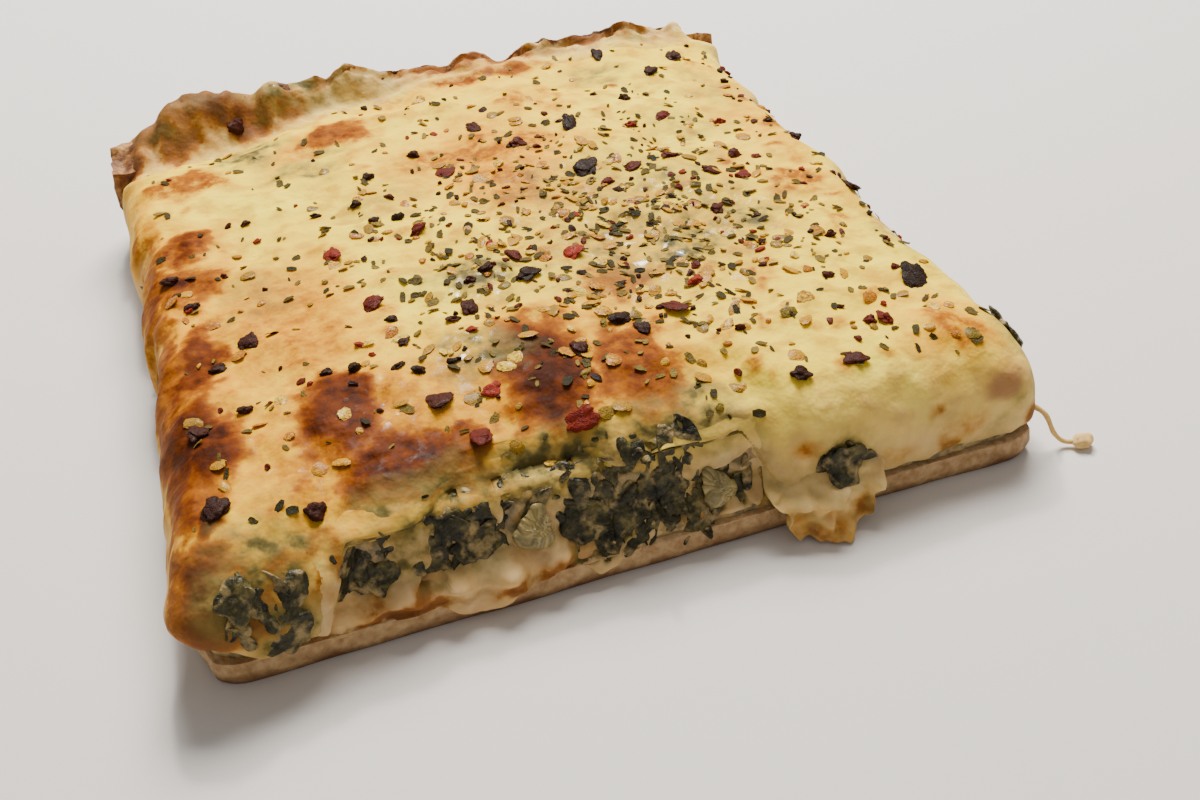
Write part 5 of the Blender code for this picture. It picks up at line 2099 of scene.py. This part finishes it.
# Chilli flakes: x, y (mm), length (mm), turn (degrees), tint from black (0) to red (1)
FLAKES = (
    (54, -42, 4.8, 80, 0.02), (17, 10.5, 5.4, 60, 0.02), (26, -58.5, 3.2, 0, 0.15), (-6.5, -55.2, 4.6, 10, 0.8),
    (-20, -52.5, 4.2, 80, 0.6), (-24, -45, 4.0, 75, 0.35), (15.5, -36.5, 4.2, 100, 0.5), (5.5, -16.5, 4.2, 20, 0.9),
    (-31, 0, 3.6, 95, 0.8), (-28, -17.5, 3.6, 15, 0.6), (32.5, 8, 3.2, 45, 0.5), (37, 0, 3.8, 0, 0.4),
    (41.5, -3.5, 3.0, 10, 0.7), (20, 27.5, 4.2, 80, 0.03), (3, 35.5, 3.4, 90, 0.35), (6.7, -36.5, 3.2, 0, 0.05),
    (-1.5, -41.5, 3.2, 90, 0.3), (-3, -20, 4.2, 25, 0.03), (33, -12, 3.2, 60, 0.4), (43.5, -51, 2.8, 60, 0.7),
    (35, -58, 3.2, 155, 0.4), (-16, -45, 3.0, 10, 0.9), (-25.5, -29.5, 2.8, 60, 0.15), (-3, -12.5, 3.6, 90, 0.5),
    (42.5, 44, 3.6, 60, 0.2), (36, 57, 3.8, 80, 0.05), (-47.5, -19.5, 3.2, 70, 0.3), (-53, -23, 2.6, 0, 0.2),
    (25, 8, 3.2, 20, 0.5), (-6.5, 20.5, 3.6, 40, 0.6), (8.5, 24, 3.2, 0, 0.45), (-16, 1, 3.4, 10, 0.6),
    (51, 53, 3.4, 80, 0.2), (37.5, 24, 3.2, 0, 0.6), (-57, -55, 4.0, 60, 0.15), (-14, -25, 3.6, 80, 0.3),
    (-44.5, -58, 2.8, 0, 0.3), (58, -13, 4.2, 70, 0.25), (-40, 56, 3.6, 20, 0.35), (30.5, 23, 2.4, 0, 0.8),
    (33.5, 35, 2.6, 90, 0.2), (47, 18.5, 2.2, 0, 0.8), (19, 4, 2.4, 30, 0.5), (43.5, 4.5, 2.4, 0, 0.45),
    (57, 7, 2.6, 80, 0.15), (-17, -27, 2.8, 40, 0.3), (-26, -23, 1.8, 0, 0.1), (-38, -33, 1.8, 0, 0.1),
    (-34, -34, 2.0, 60, 0.1), (-27.5, -35.5, 2.2, 30, 0.1), (-25, -37.5, 2.0, 0, 0.1), (9, -40.5, 2.6, 90, 0.1),
    (41, -51, 1.8, 0, 0.6), (22, -46, 1.8, 30, 0.4), (47, -26.5, 2.0, 0, 0.3), (35.5, -25, 2.0, 50, 0.3),
    (41, -38, 1.8, 0, 0.4), (21, -32, 2.4, 20, 0.9), (-57, -38.5, 3.4, 80, 0.3), (-50, -35.5, 2.0, 0, 0.3),
    (-57, 4.5, 2.6, 0, 0.3), (-54.5, -5, 2.0, 0, 0.2), (-18, 7.5, 1.8, 0, 0.05), (-22, 8, 1.8, 40, 0.1),
    (-24, 15, 2.0, 0, 0.1), (-31, 15, 1.8, 0, 0.1), (-43, 18, 1.8, 0, 0.2), (-10.5, 29, 2.0, 0, 0.2),
    (-20, 23.5, 2.0, 60, 0.1), (-9, -16, 2.4, 0, 0.2), (-12, -18, 2.0, 0, 0.3),
)


@dataclass
class CheeseToppings:
    """Chilli flakes, chilli seeds and oregano on the cheese."""

    form: CutForm = FORM
    herb_count: int = 900
    seed_count: int = 330
    crumb_count: int = 150
    edge_count: int = 20

    def inside(self, x: float, y: float, margin: float) -> bool:
        """Whether a place in millimetres lies on the cheese's top."""
        return (abs(x) < self.form.half_w / MM - margin and y > -self.form.half_d / MM + margin + 1
                and y < self.form.rim_line(x * MM) / MM - 2)

    def spread(self, draw: random.Random, count: int, margin: float) -> list[tuple[float, float]]:
        """Places that are denser over the middle and the right.

        Args:
            draw: Source of the places.
            count: How many to make.
            margin: How far from the cut's edge they stay, in millimetres.

        Returns:
            The x and y of each, in millimetres.
        """
        made = []
        while len(made) < count:
            if draw.random() < 0.62:
                x, y = draw.gauss(14, 21), draw.gauss(-14, 24)
            else:
                x, y = draw.uniform(-60, 60), draw.uniform(-64, 60)
            if self.inside(x, y, margin):
                made.append((x, y))
        return made

    def build(self, tree: BVHTree) -> list[bpy.types.Object]:
        """Models and dresses the three kinds.

        Args:
            tree: Search tree of what they lie on.

        Returns:
            The finished pieces.
        """
        draw = random.Random(5)
        flakes = [(x, y, size, size * draw.uniform(0.6, 0.85), draw.uniform(0.7, 1.3), turn, tint)
                  for x, y, size, turn, tint in FLAKES]
        crumbs = []
        for x, y in self.spread(draw, self.crumb_count, 7):
            size = draw.uniform(0.8, 1.9)
            crumbs.append((x, y, size, size * draw.uniform(0.5, 0.9), draw.uniform(0.4, 0.8),
                           draw.uniform(0, 180), draw.choice((0.05, 0.2, 0.4, 0.6, 0.85))))
        seeds = []
        for x, y in self.spread(draw, self.seed_count, 6):
            length = draw.uniform(1.0, 3.4)
            seeds.append((x, y, length, length * draw.uniform(0.5, 0.95), draw.uniform(0.3, 0.5),
                          draw.uniform(0, 180), draw.random()))
        for _ in range(self.edge_count):
            size = draw.uniform(0.8, 1.8)
            crumbs.append((draw.uniform(55, 61), draw.uniform(-36, 58), size, 0.7 * size, 0.6 * size,
                           draw.uniform(0, 180), draw.random()))
        herbs = []
        for x, y in self.spread(draw, self.herb_count, 4):
            length = draw.uniform(0.7, 2.1)
            herbs.append((x, y, length, length * draw.uniform(0.3, 0.7), length * 0.5,
                          draw.uniform(0, 360), draw.random()))
        return [Scatter("chilli_flakes", Outline.SHARD, CHILLI, 3, flakes).build(tree),
                Scatter("chilli_crumbs", Outline.CRUMB, CHILLI, 7, crumbs).build(tree),
                Scatter("chilli_seeds", Outline.DISC, SEED, 4, seeds).build(tree),
                Scatter("oregano", Outline.CURL, HERB, 6, herbs).build(tree)]


# ---------------------------------------------------------------- stage


@dataclass
class Stage:
    """The plain pale floor, the soft light and the camera."""

    yaw: float = 16.9
    pitch: float = 38.0
    roll: float = -4.1
    eye: tuple[float, float, float] = (-0.04628, -0.19702, 0.13883)
    lens: float = 40.5
    paper: tuple = linear(217, 211, 204)
    lamps: tuple = (("overhead_lamp", (0.18, 0.40, 0.66), 0.42, 15.2),
                    ("sparkle_lamp", (0.05, 0.40, 0.55), 0.05, 2.4))
    lamp_colour: tuple = (1.0, 0.975, 0.945)
    sky: float = 0.38
    sky_colour: tuple = (1.0, 0.985, 0.965, 1)

    def floor(self) -> bpy.types.Object:
        """A wide pale sheet on the table.

        Returns:
            The floor.
        """
        select_only(None)
        bpy.ops.mesh.primitive_plane_add(size=6, location=(0, 0, 0))
        piece = new_piece("pale_floor")
        made, board, shader = blank_material("pale_floor")
        wire(board, shader, Base_Color=self.paper, Roughness=0.75)
        piece.data.materials.append(made)
        return piece

    def lights(self) -> None:
        """One large soft lamp overhead, a little behind, and a pale sky."""
        select_only(None)
        for name, place, size, power in self.lamps:
            bpy.ops.object.light_add(type="AREA", location=place)
            lamp = bpy.context.object
            lamp.name = name
            lamp.data.size = size
            lamp.data.energy = power
            lamp.data.color = self.lamp_colour
            lamp.rotation_euler = Vector(place).to_track_quat("Z", "Y").to_euler()
        world = bpy.data.worlds.new("soft_sky")
        world.use_nodes = True
        sky = world.node_tree.nodes["Background"]
        sky.inputs["Color"].default_value = self.sky_colour
        sky.inputs["Strength"].default_value = self.sky
        bpy.context.scene.world = world

    def camera(self) -> None:
        """The camera at the photograph's place."""
        yaw, pitch, roll = (math.radians(angle) for angle in (self.yaw, self.pitch, self.roll))
        ahead = Vector((math.sin(yaw) * math.cos(pitch), math.cos(yaw) * math.cos(pitch), -math.sin(pitch)))
        right = Vector((math.cos(yaw), -math.sin(yaw), 0))
        up = right.cross(ahead)
        right, up = (math.cos(roll) * right + math.sin(roll) * up, math.cos(roll) * up - math.sin(roll) * right)
        bpy.ops.object.camera_add()
        camera = bpy.context.object
        camera.name = "photo_camera"
        camera.matrix_world = Matrix.Translation(self.eye) @ Matrix((right, up, -ahead)).transposed().to_4x4()
        camera.data.lens = self.lens
        camera.data.sensor_width = 36
        camera.data.clip_start = 0.005
        bpy.context.scene.camera = camera


def main() -> None:
    """Builds the dressed cut of pizza and its stage."""
    logging.basicConfig(level=logging.INFO, format="%(name)s: %(message)s")
    stage = Stage()
    stage.camera()
    stage.floor()
    stage.lights()
    cheese = MeltedCheeseFinish().material()
    spinach = CookedSpinachFinish().material()
    crust = PizzaCrust().build(BakedDoughFinish().material())
    filling = CreamyFilling().build(CreamyFillingFinish().material())
    blanket = CheeseBlanket().build(cheese)
    lap = CheeseOnRim().build(cheese, joint_tree((blanket, crust)))
    flow = CreamVeil().build(cheese, joint_tree((blanket, filling, crust)))
    tongue = CheeseTongue().build(cheese)
    CheeseThread().build(cheese)
    SpinachShreds().build(spinach, joint_tree((blanket, filling)))
    SpinachLeaves().build(spinach)
    ArtichokeWedges().build(ArtichokeFinish().material())
    CheeseToppings().build(joint_tree((blanket, crust, lap, flow, tongue)))
    select_only(None)


if __name__ == "__main__":
    main()
